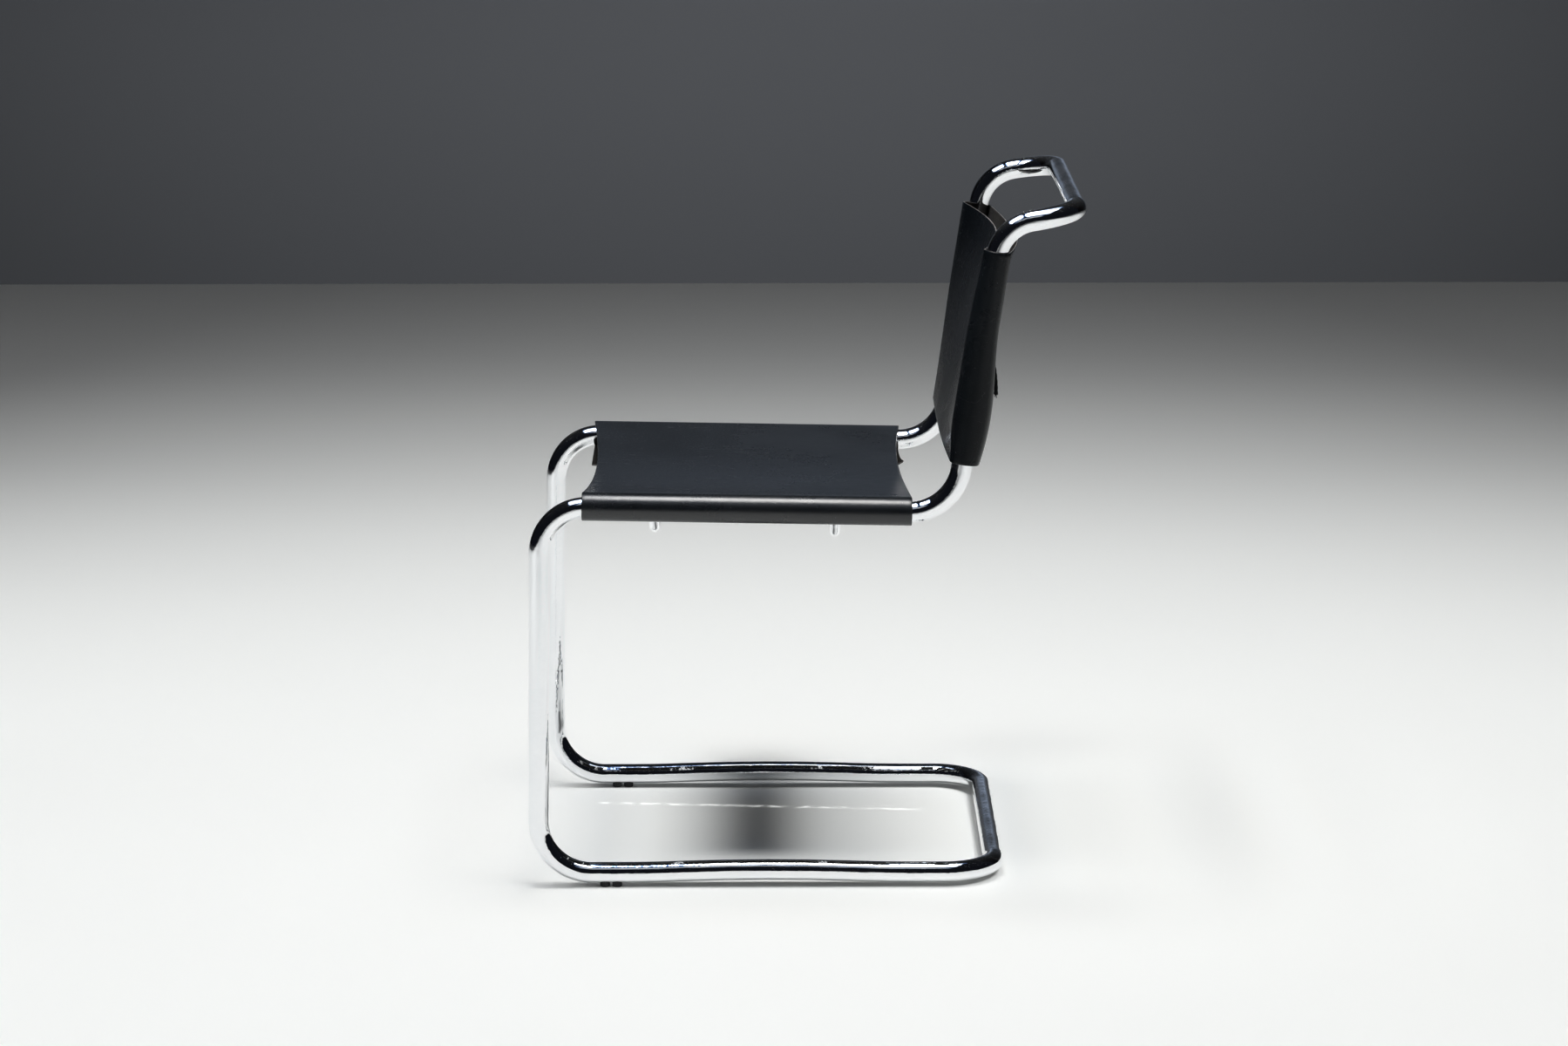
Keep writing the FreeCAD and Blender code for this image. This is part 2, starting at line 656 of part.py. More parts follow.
# ---------------------------------------------------------------- leather
# The slings clear the tubes where these start to bend, and the seat's flaps
# are slotted where the stretchers pass.
frame_room = [bar_along(f"{word}_room", path, "Sizes.tube_diameter / 2 + Sizes.leather_bend_fit")
              for word, path in (("base", base_path), ("back", back_path))]
seat_tools = hollows + frame_room + list(rod_bars.values()) + seat_holes
sub_part(cut("seat_sling_whole", seat_blank, fuse("seat_tools", seat_tools)), "seat_sling")
back_tools = [frame_room[1]] + back_holes
sub_part(cut("back_sling_whole", back_blank, fuse("back_tools", back_tools)), "back_sling")

# ---------------------------------------------------------------- build and save
doc.recompute()
for feature in doc.Objects:
    if "Invalid" in feature.State or "Error" in feature.State:
        raise RuntimeError(f"{feature.Name} failed: {feature.State}")
for node in nodes:
    if node.Shape.isNull() or not node.Shape.isValid():
        raise RuntimeError(f"{node.Label} has no valid shape")
for bar, path in ((base_bar, base_path), (back_bar, back_path), (tail_bar, tail_path)):
    radius = bar.Sections[0].Radius.Value
    expected = math.pi * radius ** 2 * path.Shape.Length
    print(f"{bar.Name}: volume {bar.Shape.Volume / expected:.5f} of section times length")

os.makedirs("parts", exist_ok=True)
for node in nodes:
    node.Shape.exportStep(f"parts/{node.Label}.step")
    box = node.Shape.BoundBox
    print(f"{node.Label}: {len(node.Shape.Solids)} solids, {node.Shape.Volume:.0f} mm3, "
          f"x {box.XMin:.1f}..{box.XMax:.1f}, y {box.YMin:.1f}..{box.YMax:.1f}, "
          f"z {box.ZMin:.1f}..{box.ZMax:.1f}")
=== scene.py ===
import math

import bpy
import numpy as np
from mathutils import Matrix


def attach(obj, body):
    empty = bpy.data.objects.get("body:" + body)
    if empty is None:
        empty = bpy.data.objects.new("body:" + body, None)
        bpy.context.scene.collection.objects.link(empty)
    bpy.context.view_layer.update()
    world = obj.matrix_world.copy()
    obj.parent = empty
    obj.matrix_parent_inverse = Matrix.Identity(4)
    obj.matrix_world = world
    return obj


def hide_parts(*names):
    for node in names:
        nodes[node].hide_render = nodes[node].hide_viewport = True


# Cantilever side chair: chromed tube loop with a laced saddle-leather seat and
# back. Metres, +X to the sitter's left, -Y the way the sitter faces, +Z up.
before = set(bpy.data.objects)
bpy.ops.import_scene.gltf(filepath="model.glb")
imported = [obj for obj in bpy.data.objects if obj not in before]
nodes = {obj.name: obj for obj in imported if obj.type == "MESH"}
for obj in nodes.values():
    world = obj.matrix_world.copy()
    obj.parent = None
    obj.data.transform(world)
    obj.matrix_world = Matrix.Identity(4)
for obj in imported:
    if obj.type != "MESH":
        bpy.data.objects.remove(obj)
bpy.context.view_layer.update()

# ------------------------------------------------------------------ sizes
TUBE_RADIUS = 0.0125
TUBE_WALL = 0.0025
HALF_WIDTH = 0.228               # middle of the chair to a side tube's axis
BASE_DEPTH = 0.553
FLOOR_AXIS = 0.0175              # runner axis over the floor, at its ends
RUNNER_RISE = 0.0049
RUNNER_LEVEL = 0.130
LEG_LEAN = 0.0067
RAIL_HEIGHT = 0.4693
RAIL_SLOPE = math.radians(1.0)
RAIL_LENGTH = 0.4934
BACK_LEAN = math.radians(8.8)
BACK_LENGTH = 0.3487
ARM_RISE = math.radians(9.0)
ARM_LENGTH = 0.092
SPLICE_SETBACK = 0.240
FRONT_TOP_BEND = 0.057
FRONT_FLOOR_BEND = 0.064
REAR_FLOOR_BEND = 0.062
RUNNER_EASE = 1.8
RUNNER_CROWN = 2.99
SEAT_REAR_BEND = 0.063
CURL_BEND = 0.052
HEAD_BEND = 0.053

ROD_RADIUS = 0.00625
ROD_BEND = 0.070
FRONT_ROD = (0.136, 0.0345)      # place along the rail, drop under its axis
REAR_ROD = (0.352, 0.0375)

LEATHER = 0.003
LEATHER_FIT = 0.0005
LEATHER_EDGE = 0.0009            # rounding of the cut edges
WRAP_IN = TUBE_RADIUS + LEATHER_FIT
WRAP_OUT = WRAP_IN + LEATHER
SEAT_PLACE = 0.051
SEAT_LENGTH = 0.3895
SEAT_SAG = 0.010
SEAT_DROOP = 0.0042
SEAT_GAP = 0.236
SEAT_FRONT_HOLLOW = 0.0100       # depth of the face's cut-back ends at the middle
SEAT_REAR_HOLLOW = 0.0066
SEAT_REAR_SKEW = 0.0050          # the rear cut is deeper by this towards the right
BACK_PLACE = 0.057
BACK_SLING_LENGTH = 0.263
BACK_TOP_SAG = 0.024
BACK_FOOT_SAG = -0.004
BACK_GAP = 0.120

LACE_RADIUS = 0.00175
LACE_FIT = 0.0003
LACE_BEND = 0.0025
LACE_MARGIN = 0.027
LACE_RETURN = 0.009
HOLE_INSET = 0.012
HOLE_RADIUS = LACE_RADIUS + LACE_FIT
KNOT_RADIUS = 0.004
TAIL_PLACE = 0.104
TAIL_KNOT_RADIUS = 0.003
SEAT_RUNGS = 9
BACK_RUNGS = 7


# ------------------------------------------------------------------ layout
def in_plane(y, z):
    """A point or direction in the chair's middle plane."""
    return np.array([0.0, y, z])


def unit(vector):
    """A vector at length 1."""
    return vector / np.linalg.norm(vector)


def unit_rows(vectors):
    """Each row of an array at length 1."""
    return vectors / np.linalg.norm(vectors, axis=1)[:, None]


def full_turn(count):
    """Angles at even steps round a circle."""
    return np.linspace(0, 2 * np.pi, count + 1)[:-1]


def smooth_share(value, start, end):
    """From 0 at start to 1 at end, level at both."""
    share = np.clip((value - start) / (end - start), 0, 1)
    return share * share * (3 - 2 * share)


ACROSS = np.array([1.0, 0.0, 0.0])
rail_ahead = in_plane(math.cos(RAIL_SLOPE), -math.sin(RAIL_SLOPE))
rail_up = in_plane(math.sin(RAIL_SLOPE), math.cos(RAIL_SLOPE))
back_up = in_plane(math.sin(BACK_LEAN), math.cos(BACK_LEAN))
back_face = in_plane(-math.cos(BACK_LEAN), math.sin(BACK_LEAN))
arm_ahead = in_plane(math.cos(ARM_RISE), math.sin(ARM_RISE))

rail_front = in_plane(LEG_LEAN, RAIL_HEIGHT)
rail_rear = rail_front + rail_ahead * RAIL_LENGTH
curl = rail_rear + back_up * BACK_LENGTH
head = curl + arm_ahead * ARM_LENGTH
centring = in_plane(-head[1] / 2, 0)
rail_front, rail_rear, curl, head = (p + centring for p in (rail_front, rail_rear, curl, head))
leg_foot = in_plane(0, FLOOR_AXIS) + centring
runner_front = in_plane(RUNNER_LEVEL, FLOOR_AXIS) + centring
runner_mid = in_plane(BASE_DEPTH / 2, FLOOR_AXIS + RUNNER_RISE) + centring
runner_rear = in_plane(BASE_DEPTH - RUNNER_LEVEL, FLOOR_AXIS) + centring
floor_rear = in_plane(BASE_DEPTH, FLOOR_AXIS) + centring
splice = rail_front + rail_ahead * SPLICE_SETBACK


# ------------------------------------------------------------------ mesh helpers
def smooth_mesh(name, points, faces, uvs=None, slots=None):
    """A smooth-shaded mesh from an array of points and arrays of faces.

    faces is a list of index arrays, one row per face. uvs has a matching array of
    corner coordinates for each, and slots a material number for each.
    """
    mesh = bpy.data.meshes.new(name)
    mesh.vertices.add(len(points))
    mesh.vertices.foreach_set("co", np.asarray(points, np.float32).ravel())
    corners = np.concatenate([array.ravel() for array in faces])
    counts = np.concatenate([np.full(len(array), array.shape[1]) for array in faces])
    mesh.loops.add(len(corners))
    mesh.loops.foreach_set("vertex_index", corners.astype(np.int32))
    mesh.polygons.add(len(counts))
    starts = np.concatenate([[0], np.cumsum(counts)[:-1]])
    mesh.polygons.foreach_set("loop_start", starts.astype(np.int32))
    mesh.polygons.foreach_set("use_smooth", np.ones(len(counts), bool))
    if slots is not None:
        numbers = np.concatenate([np.full(len(a), slot) for a, slot in zip(faces, slots)])
        mesh.polygons.foreach_set("material_index", numbers.astype(np.int32))
    if uvs is not None:
        layer = mesh.uv_layers.new(name="UVMap")
        flat = np.concatenate([array.reshape(-1, 2) for array in uvs])
        layer.data.foreach_set("uv", flat.astype(np.float32).ravel())
    mesh.update(calc_edges=True)
    mesh.validate()
    return mesh


def add_piece(name, mesh, *materials):
    """A piece of the chair, riding on its one body, with its materials."""
    piece = bpy.data.objects.new(name, mesh)
    bpy.context.scene.collection.objects.link(piece)
    for material in materials:
        mesh.materials.append(material)
    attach(piece, "root")
    return piece


def grid_faces(rows, columns, close_rows=False, close_columns=False):
    """Quads of a grid of points, numbered row by row, and each corner's row and column.

    A closed direction joins its last line to its first.
    """
    row, column = np.meshgrid(np.arange(rows if close_rows else rows - 1),
                              np.arange(columns if close_columns else columns - 1),
                              indexing="ij")
    row, column = row.ravel(), column.ravel()
    corner_rows = np.stack([row, row + 1, row + 1, row], 1)
    corner_columns = np.stack([column, column, column + 1, column + 1], 1)
    index = corner_rows % rows * columns + corner_columns % columns
    return index, np.stack([corner_rows, corner_columns], 2)


def rounded_path(corners, bends, turn_step=math.radians(2.5), run_step=0.012):
    """Points and directions along straight runs joined by tangent arcs.

    Each arc starts its radius times the tangent of half the turn before the
    corner. On it the direction turns evenly from one run's to the next. A run's
    points are closer together near its ends, by a cosine.
    """
    points, directions = [], []

    def add_run(start, end):
        """A straight run, without its last point."""
        length = np.linalg.norm(end - start)
        count = max(4, int(length / run_step))
        share = (1 - np.cos(np.linspace(0, np.pi, count + 1)[:-1])) / 2
        points.append(start + share[:, None] * (end - start))
        directions.append(np.tile(unit(end - start), (count, 1)))

    start = corners[0]
    for before, corner, after, radius in zip(corners, corners[1:], corners[2:], bends):
        onward, away = unit(corner - before), unit(after - corner)
        turn = math.acos(np.clip(onward @ away, -1, 1))
        reach = radius * math.tan(turn / 2)
        add_run(start, corner - onward * reach)
        inward = (away - onward * math.cos(turn)) / math.sin(turn)
        angle = np.linspace(0, turn, max(4, int(turn / turn_step)) + 1)[:-1, None]
        points.append(corner - onward * reach
                      + radius * (np.sin(angle) * onward + (1 - np.cos(angle)) * inward))
        directions.append(np.cos(angle) * onward + np.sin(angle) * inward)
        start = corner + away * reach
    add_run(start, corners[-1])
    points.append(corners[-1][None])
    directions.append(unit(corners[-1] - corners[-2])[None])
    return np.concatenate(points), np.concatenate(directions)


# No stretch of the tubes or laces runs along this direction, so that a ring's
# first spoke can be squared to the path from it.
SPOKE_GUIDE = unit(np.array([0.62, 0.53, 0.58]))


def ring_points(points, spoke, other, radius, around):
    """Rings of points: each centre plus radius times the cosine of the angle along
    one spoke and its sine along the other.

    radius is a number, or an array of one value per ring and angle.
    """
    angle = full_turn(around)
    reach = np.broadcast_to(radius, (len(points), around))[:, :, None]
    return points[:, None] + reach * (np.cos(angle)[None, :, None] * spoke[:, None]
                                      + np.sin(angle)[None, :, None] * other[:, None])


def path_rings(points, directions, radius, around):
    """Rings about a path, with both spokes square to it."""
    spoke = unit_rows(SPOKE_GUIDE - (directions @ SPOKE_GUIDE)[:, None] * directions)
    return ring_points(points, spoke, np.cross(directions, spoke), radius, around)


def path_directions(points):
    """The way a path runs at each point, from the points before and after it."""
    return unit_rows(np.gradient(points, axis=0))


def end_caps(rings):
    """The two faces that close a tube's first and last ring."""
    first = np.arange(rings.shape[1])[None]
    return [first, (len(rings) - 1) * rings.shape[1] + first[:, ::-1]]


def run_lengths(points):
    """Distance along a path at each of its points."""
    steps = np.linalg.norm(np.diff(points, axis=0), axis=1)
    return np.concatenate([[0], np.cumsum(steps)])


def mirrored(corners):
    """A half route from the chair's right side, and on through its mirror image."""
    right = [point - ACROSS * HALF_WIDTH for point in corners]
    left = [point + ACROSS * HALF_WIDTH for point in reversed(corners)]
    return right + left


# ------------------------------------------------------------------ chromed tubes
TUBE_AROUND = 56
ROD_AROUND = 32
ROD_CLEAR = 1.7 * TUBE_RADIUS    # a rod's rings start this far from a rail's axis


def hollow_tube(name, corners, bends):
    """A bent tube with a bore and square ends, as one closed surface.

    corners and bends are its right half's, which the left half mirrors. Its rings
    run along the outside and back along the bore, and the last one joins the
    first. Its UVs are the distance along the tube and the share around.
    """
    points, directions = rounded_path(mirrored(corners), bends + bends[::-1])
    outside = path_rings(points, directions, TUBE_RADIUS, TUBE_AROUND)
    bore = path_rings(points, directions, TUBE_RADIUS - TUBE_WALL, TUBE_AROUND)
    rings = np.concatenate([outside, bore[::-1]])
    faces, places = grid_faces(len(rings), TUBE_AROUND, close_rows=True, close_columns=True)
    runs = run_lengths(points)
    runs = np.concatenate([runs, runs[::-1], runs[:1]])
    uv = np.stack([runs[places[..., 0]], places[..., 1] / TUBE_AROUND], 2)
    return smooth_mesh(name, rings.reshape(-1, 3), [faces[:, ::-1]], [uv[:, ::-1]])


def coped_rod(name, place, drop):
    """A bowed rod between the side rails, coped to them.

    It leaves each rail at 45 degrees and dips by drop. The end rings are slid
    along the rod until each point lies on the rail's surface.
    """
    centre = rail_front + rail_ahead * place
    corner = centre - in_plane(0, drop)
    corners = [centre - ACROSS * HALF_WIDTH, corner - ACROSS * (HALF_WIDTH - drop),
               corner + ACROSS * (HALF_WIDTH - drop), centre + ACROSS * HALF_WIDTH]
    points, directions = rounded_path(corners, [ROD_BEND] * 2)
    clear = np.linalg.norm(np.abs(points) - np.abs(corners[0]), axis=1) > ROD_CLEAR
    points, directions = points[clear], directions[clear]
    rings = path_rings(points, directions, ROD_RADIUS, ROD_AROUND)
    ends = []
    for ring, outward, side in ((rings[0], -directions[0], -1), (rings[-1], directions[-1], 1)):
        offset = ring - (centre + ACROSS * side * HALF_WIDTH)
        offset -= (offset @ rail_ahead)[:, None] * rail_ahead
        along = outward - (outward @ rail_ahead) * rail_ahead
        a, b = along @ along, offset @ along
        c = (offset * offset).sum(1) - TUBE_RADIUS ** 2
        slide = (-b - np.sqrt(b * b - a * c)) / a
        ends.append(ring + slide[:, None] * outward)
    rings = np.concatenate([ends[0][None], rings, ends[1][None]])
    faces, _ = grid_faces(len(rings), ROD_AROUND, close_columns=True)
    return smooth_mesh(name, rings.reshape(-1, 3), [faces[:, ::-1], *end_caps(rings)])


# ------------------------------------------------------------------ leather slings
CUT_EASE = 0.060                 # the grid closes up over this behind a cut-back end
CUT_ACROSS = (0.97, 1.3)         # the cut-back is given up between these places across
FLATTEST = 1e-6                  # a face is never quite flat, so that its arc has a middle
FAR = 1.0                        # stands for the distance to a hole where there is none
INSIDE_HOLE = 1e-6               # a face whose corners are all within this of a hole is cut
NOT_ZERO = 1e-9                  # the least that a distance is divided by
FACE_LINES, BEND_LINES = 40, 17  # grid lines across half the face, and round each bend
ALONG_STEP, FLAP_STEP = 0.0045, 0.006
HOLE_LINES = HOLE_RADIUS * np.linspace(-2, 2, 9)
HOLE_CLEAR = 2.3 * HOLE_RADIUS   # no even line is nearer to a hole's middle
EDGE_LINES = LEATHER_EDGE * np.array([0.12, 0.4, 1.0])


def sling_point(across, wrap, sag, front, turn, bulge, gap):
    """A point of a sling's skin in the plane square to its tubes, x across and y
    towards the sitter. wrap is the skin's distance from the tube axes.

    across runs from 0 at the middle to 1 where the face ends, 2 at the outermost
    point, 3 where the flap starts and 4 at the flap's edge, and is negative on the
    right side. The face is an arc that dips by sag, or crowns where its dip is
    negative. The leather turns in front of the tube by an arc of radius front, and
    behind it by one of radius turn; the two meet at the outermost point. The flap
    is an arc bowed by bulge. Each is tangent to the next.
    """
    reach = np.abs(across)
    slack = wrap - WRAP_OUT
    front_middle = HALF_WIDTH + WRAP_OUT - front
    dip = sag + front - WRAP_OUT
    dip = np.where(np.abs(dip) < FLATTEST, FLATTEST, dip)
    face_radius = (front_middle ** 2 + dip ** 2) / (2 * dip)
    lean = np.arcsin(front_middle / face_radius)
    turn_middle = HALF_WIDTH + WRAP_OUT - turn
    flap_radius = (turn_middle ** 2 + bulge ** 2) / (2 * bulge)
    tuck = np.arcsin(turn_middle / flap_radius)
    face_angle = lean * np.clip(reach, 0, 1)
    face_x = (face_radius - front - slack) * np.sin(face_angle)
    face_y = face_radius - dip - (face_radius - front - slack) * np.cos(face_angle)
    front_angle = -lean + (np.pi / 2 + lean) * np.clip(reach - 1, 0, 1)
    front_x = front_middle + (front + slack) * np.sin(front_angle)
    front_y = (front + slack) * np.cos(front_angle)
    turn_angle = np.pi / 2 + (np.pi / 2 - tuck) * np.clip(reach - 2, 0, 1)
    turn_x = turn_middle + (turn + slack) * np.sin(turn_angle)
    turn_y = (turn + slack) * np.cos(turn_angle)
    flap_start = turn_middle + (turn + slack) * np.sin(tuck)
    flap_x = flap_start + (gap / 2 - flap_start) * np.clip(reach - 3, 0, 1)
    flap_y = flap_radius - bulge - np.sqrt((flap_radius + turn + slack) ** 2 - flap_x ** 2)
    part = [reach <= 1, reach <= 2, reach <= 3]
    x = np.select(part, [face_x, front_x, turn_x], flap_x)
    y = np.select(part, [face_y, front_y, turn_y], flap_y)
    return np.sign(across) * x, y


def flap_height(across, wrap, turn, bulge):
    """Height of a flap's skin over the plane of the tube axes, negative behind it."""
    turn_middle = HALF_WIDTH + WRAP_OUT - turn
    reach = (turn_middle ** 2 + bulge ** 2) / (2 * bulge)
    return reach - bulge - np.sqrt((reach + turn - WRAP_OUT + wrap) ** 2 - across ** 2)


def even_lines(start, end, step, marks=()):
    """Grid lines about a step apart, with finer ones at both ends and round marks,
    which are the middles of holes.

    A hole's own lines stand half a hole radius apart, out to two radii.
    """
    count = max(2, round((end - start) / step))
    lines = np.linspace(start, end, count + 1)
    for mark in marks:
        lines = lines[np.abs(lines - mark) > HOLE_CLEAR]
    hole_lines = [mark + HOLE_LINES for mark in marks]
    lines = lines[(lines > start + 2 * LEATHER_EDGE) & (lines < end - 2 * LEATHER_EDGE)]
    return np.sort(np.concatenate([lines, *hole_lines, [start, end], start + EDGE_LINES,
                                   end - EDGE_LINES]))


def hole_shift(along, inward, holes):
    """Moves grid points round each hole's middle, and says how far each lies from
    the nearest hole's rim.

    Square rings of grid points up to one hole radius out become circles, and
    those up to two radii out are mixed from circle and square.
    """
    rim = np.full(along.shape, FAR)
    for hole_along, hole_inward in holes:
        a, b = along - hole_along, inward - hole_inward
        square = np.maximum(np.abs(a), np.abs(b))
        radial = np.hypot(a, b)
        share = np.clip(2 - square / HOLE_RADIUS, 0, 1)
        scale = np.where(radial > 0, share * square / np.maximum(radial, NOT_ZERO) + 1 - share,
                         1.0)
        along = np.where(square <= 2 * HOLE_RADIUS, hole_along + a * scale, along)
        inward = np.where(square <= 2 * HOLE_RADIUS, hole_inward + b * scale, inward)
        rim = np.minimum(rim, square - HOLE_RADIUS)
    return along, inward, rim


def open_edges(faces):
    """The directed edges of quads that no other quad shares."""
    edges = np.concatenate([faces[:, [i, (i + 1) % 4]] for i in range(4)])
    span = faces.max() + 1
    keys = edges[:, 0] * span + edges[:, 1]
    shared = np.isin(keys, edges[:, 1] * span + edges[:, 0])
    return edges[~shared]


def sling_mesh(name, length, gap, shape, holes, hollow, place):
    """A sling as a closed shell: grain side out, flesh side in, cut edges between.

    shape gives sag, front, turn and bulge at a distance along the sling and on a
    side, holes are as (side, place along, inset from the flap's edge), and hollow
    gives how far the face's two ends are cut back at a distance across. place takes
    x, y and the distance along to the chair's frame.
    """
    flap_length = HALF_WIDTH - gap / 2
    insets = sorted({inset for _, _, inset in holes})
    marks = sorted({along for _, along, _ in holes})
    along_lines = even_lines(0, length, ALONG_STEP, marks)
    flap_lines = even_lines(0, flap_length, FLAP_STEP, [flap_length - inset for inset in insets])
    flap_lines = flap_lines[(flap_lines == 0) | (flap_lines > FLAP_STEP / 2)] / flap_length
    bend = np.linspace(0, 1, BEND_LINES)[1:]
    half = np.concatenate([np.linspace(0, 1, FACE_LINES), 1 + bend, 2 + bend,
                           3 + flap_lines[1:]])
    across_lines = np.concatenate([-half[:0:-1], half])
    along, across = np.meshgrid(along_lines, across_lines, indexing="ij")
    inward = (np.abs(across) - 3) * flap_length
    rim = np.full(along.shape, FAR)
    for side in (1, -1):
        on_side = np.sign(across) == side
        moved_along, moved_inward, side_rim = hole_shift(
            along, inward, [(at, flap_length - inset) for hand, at, inset in holes
                            if hand == side])
        along = np.where(on_side, moved_along, along)
        inward = np.where(on_side, moved_inward, inward)
        rim = np.where(on_side, side_rim, rim)
    across = np.where(inward > 0, np.sign(across) * (3 + inward / flap_length), across)
    edge = np.minimum(np.minimum(along, length - along), flap_length - inward)
    edge = np.minimum(edge, np.maximum(rim, 0))
    rounding = LEATHER_EDGE - np.sqrt(
        np.maximum(LEATHER_EDGE ** 2 - np.maximum(LEATHER_EDGE - edge, 0) ** 2, 0))
    skins = []
    for wrap in (WRAP_OUT - rounding, WRAP_IN + rounding):
        x, y = sling_point(across, wrap, *shape(along, np.sign(across)), gap)
        on_face = 1 - smooth_share(np.abs(across), *CUT_ACROSS)
        start_cut, end_cut = hollow(x)
        start_share = np.clip(1 - along / CUT_EASE, 0, 1)
        end_share = np.clip(1 - (length - along) / CUT_EASE, 0, 1)
        shifted = along + on_face * (start_cut * start_share - end_cut * end_share)
        skins.append(place(x, y, shifted))
    faces, corners = grid_faces(*along.shape)
    corner_rim = rim[corners[:, :, 0], corners[:, :, 1]]
    keep = corner_rim.max(1) > INSIDE_HOLE
    faces, corners = faces[keep], corners[keep]
    flat_across = np.where(np.abs(across) <= 1, across * HALF_WIDTH,
                           np.sign(across) * (HALF_WIDTH + (np.minimum(np.abs(across), 3) - 1)
                                              * np.pi / 2 * WRAP_OUT + np.maximum(inward, 0)))
    flat = np.stack([flat_across, along], 2)
    uv = flat[corners[:, :, 0], corners[:, :, 1]]
    count = along.size
    rim_edges = open_edges(faces)
    rim_faces = np.stack([rim_edges[:, 1], rim_edges[:, 0],
                          rim_edges[:, 0] + count, rim_edges[:, 1] + count], 1)
    flat_points = flat.reshape(-1, 2)
    rim_uv = flat_points[rim_faces % count]
    return smooth_mesh(
        name, np.concatenate([skin.reshape(-1, 3) for skin in skins]),
        [faces, faces[:, ::-1] + count, rim_faces], [uv, uv[:, ::-1], rim_uv], [0, 1, 2])


# ------------------------------------------------------------------ laces
def rung_places(length, count):
    """Rungs at even steps along a sling, a margin from both its ends."""
    return np.linspace(LACE_MARGIN, length - LACE_MARGIN, count)


def ladder(gap, height_at, rungs, side):
    """Corners of a ladder lacing: rungs cross outside the flaps, and single
    stitches run inside them from one rung to the next. x, y and place along.

    height_at gives a flap's height from a distance across, a wrap and a place
    along. The lacing starts inside the flap on the given side.
    """
    hole = gap / 2 + HOLE_INSET
    corners = []
    for along in rungs:
        outside = height_at(gap / 2, WRAP_OUT, along) - HOLE_RADIUS
        inside = height_at(hole, WRAP_IN, along) + HOLE_RADIUS
        corners += [(side * hole, inside, along), (side * hole, outside, along),
                    (-side * hole, outside, along), (-side * hole, inside, along)]
        side = -side
    return corners


def knot_seat(corner, wrap, height_at, side, room):
    """Middle of a knot drawn against a flap: side 1 inside the sling, -1 outside."""
    x, _, along = corner
    return x, height_at(x, wrap, along) + side * room, along


BRAID_AROUND = 20
BRAID_STEP = 0.0006              # between its rings
BRAID_STRANDS = 4
BRAID_PITCH = 0.0075
BRAID_DEPTH = 0.09               # of the lace's radius


def braid_tube(points, directions, loosened=0.0):
    """Rings, faces and corner coordinates of a braided lace along a path.

    The path is sampled evenly. The radius swells where strands that wind each
    way come to the top, by the larger of two cosines of angle plus and minus
    distance. It also grows towards the far end by the share loosened.
    """
    length = run_lengths(points)
    places = np.linspace(0, length[-1], int(length[-1] / BRAID_STEP))
    even_points, even_directions = (
        np.stack([np.interp(places, length, rows[:, axis]) for axis in range(3)], 1)
        for rows in (points, directions))
    angle = full_turn(BRAID_AROUND)[None]
    turn = 2 * np.pi * places[:, None] / BRAID_PITCH
    swell = np.maximum(np.cos(BRAID_STRANDS * angle + turn), np.cos(BRAID_STRANDS * angle - turn))
    radius = LACE_RADIUS * (1 + loosened * (places[:, None] / length[-1]) ** 2)
    rings = path_rings(even_points, unit_rows(even_directions),
                       radius * (1 + BRAID_DEPTH * (swell - 1)), BRAID_AROUND)
    faces, corners = grid_faces(len(rings), BRAID_AROUND, close_columns=True)
    uv = np.stack([corners[:, :, 1] / BRAID_AROUND, places[corners[:, :, 0]] / BRAID_PITCH], 2)
    return closed_tube(rings, faces, uv)


def closed_tube(rings, faces, uv):
    """Points, faces and corner coordinates of a tube with its two end caps."""
    cap_uv = np.zeros((1, rings.shape[1], 2))
    return (rings.reshape(-1, 3), [faces[:, ::-1], *end_caps(rings)],
            [uv[:, ::-1], cap_uv, cap_uv])


KNOT_RINGS, KNOT_AROUND = 96, 12
KNOT_LACE = 0.38                 # the squeezed lace's radius, of the knot's
KNOT_WEAVE = 8                   # rings to one repeat of the braid


def knot_tube(centre, radius):
    """An overhand knot drawn tight: the lace follows a trefoil, twice round a ring
    and three times round its section, and is squeezed where it is tied."""
    lace = radius * KNOT_LACE
    angle = full_turn(KNOT_RINGS)[:, None]
    ring = np.concatenate([np.cos(2 * angle), np.sin(2 * angle), 0 * angle], 1)
    rise = np.array([0.0, 0.0, 1.0])
    outward = np.cos(3 * angle) * ring + np.sin(3 * angle) * rise
    points = 2 * ring + outward
    points *= (radius - lace) / 3
    direction = unit_rows(np.roll(points, -1, 0) - np.roll(points, 1, 0))
    rings = ring_points(points, outward, np.cross(direction, outward), lace, KNOT_AROUND)
    faces, corners = grid_faces(KNOT_RINGS, KNOT_AROUND, close_rows=True, close_columns=True)
    uv = corners[:, :, ::-1] / np.array([KNOT_AROUND, KNOT_WEAVE])
    return centre + rings.reshape(-1, 3), [faces[:, ::-1]], [uv[:, ::-1]]


def joined(name, parts):
    """One mesh of several surfaces."""
    points, faces, uvs = [], [], []
    count = 0
    for part_points, part_faces, part_uvs in parts:
        points.append(part_points)
        faces += [array + count for array in part_faces]
        uvs += part_uvs
        count += len(part_points)
    return smooth_mesh(name, np.concatenate(points), faces, uvs)


RUNG_MEAN, RUNG_SWING = 0.6, 0.4             # of the most slack that a rung has
RUNG_PHASE, RUNG_START = 2.3, 0.7            # of the sine that sets each rung's own


def rung_bow(points, hole, slack, rungs):
    """How far each point of a lace bows: most at a rung's middle, by a parabola, and
    by a slack of the rung's own, which is a sine of its number."""
    rung = np.abs(points[:, 2:3] - rungs[None]).argmin(1)
    own = slack * (RUNG_MEAN + RUNG_SWING * np.sin(RUNG_PHASE * rung + RUNG_START))
    return np.clip(1 - (points[:, 0] / hole) ** 2, 0, 1) * own


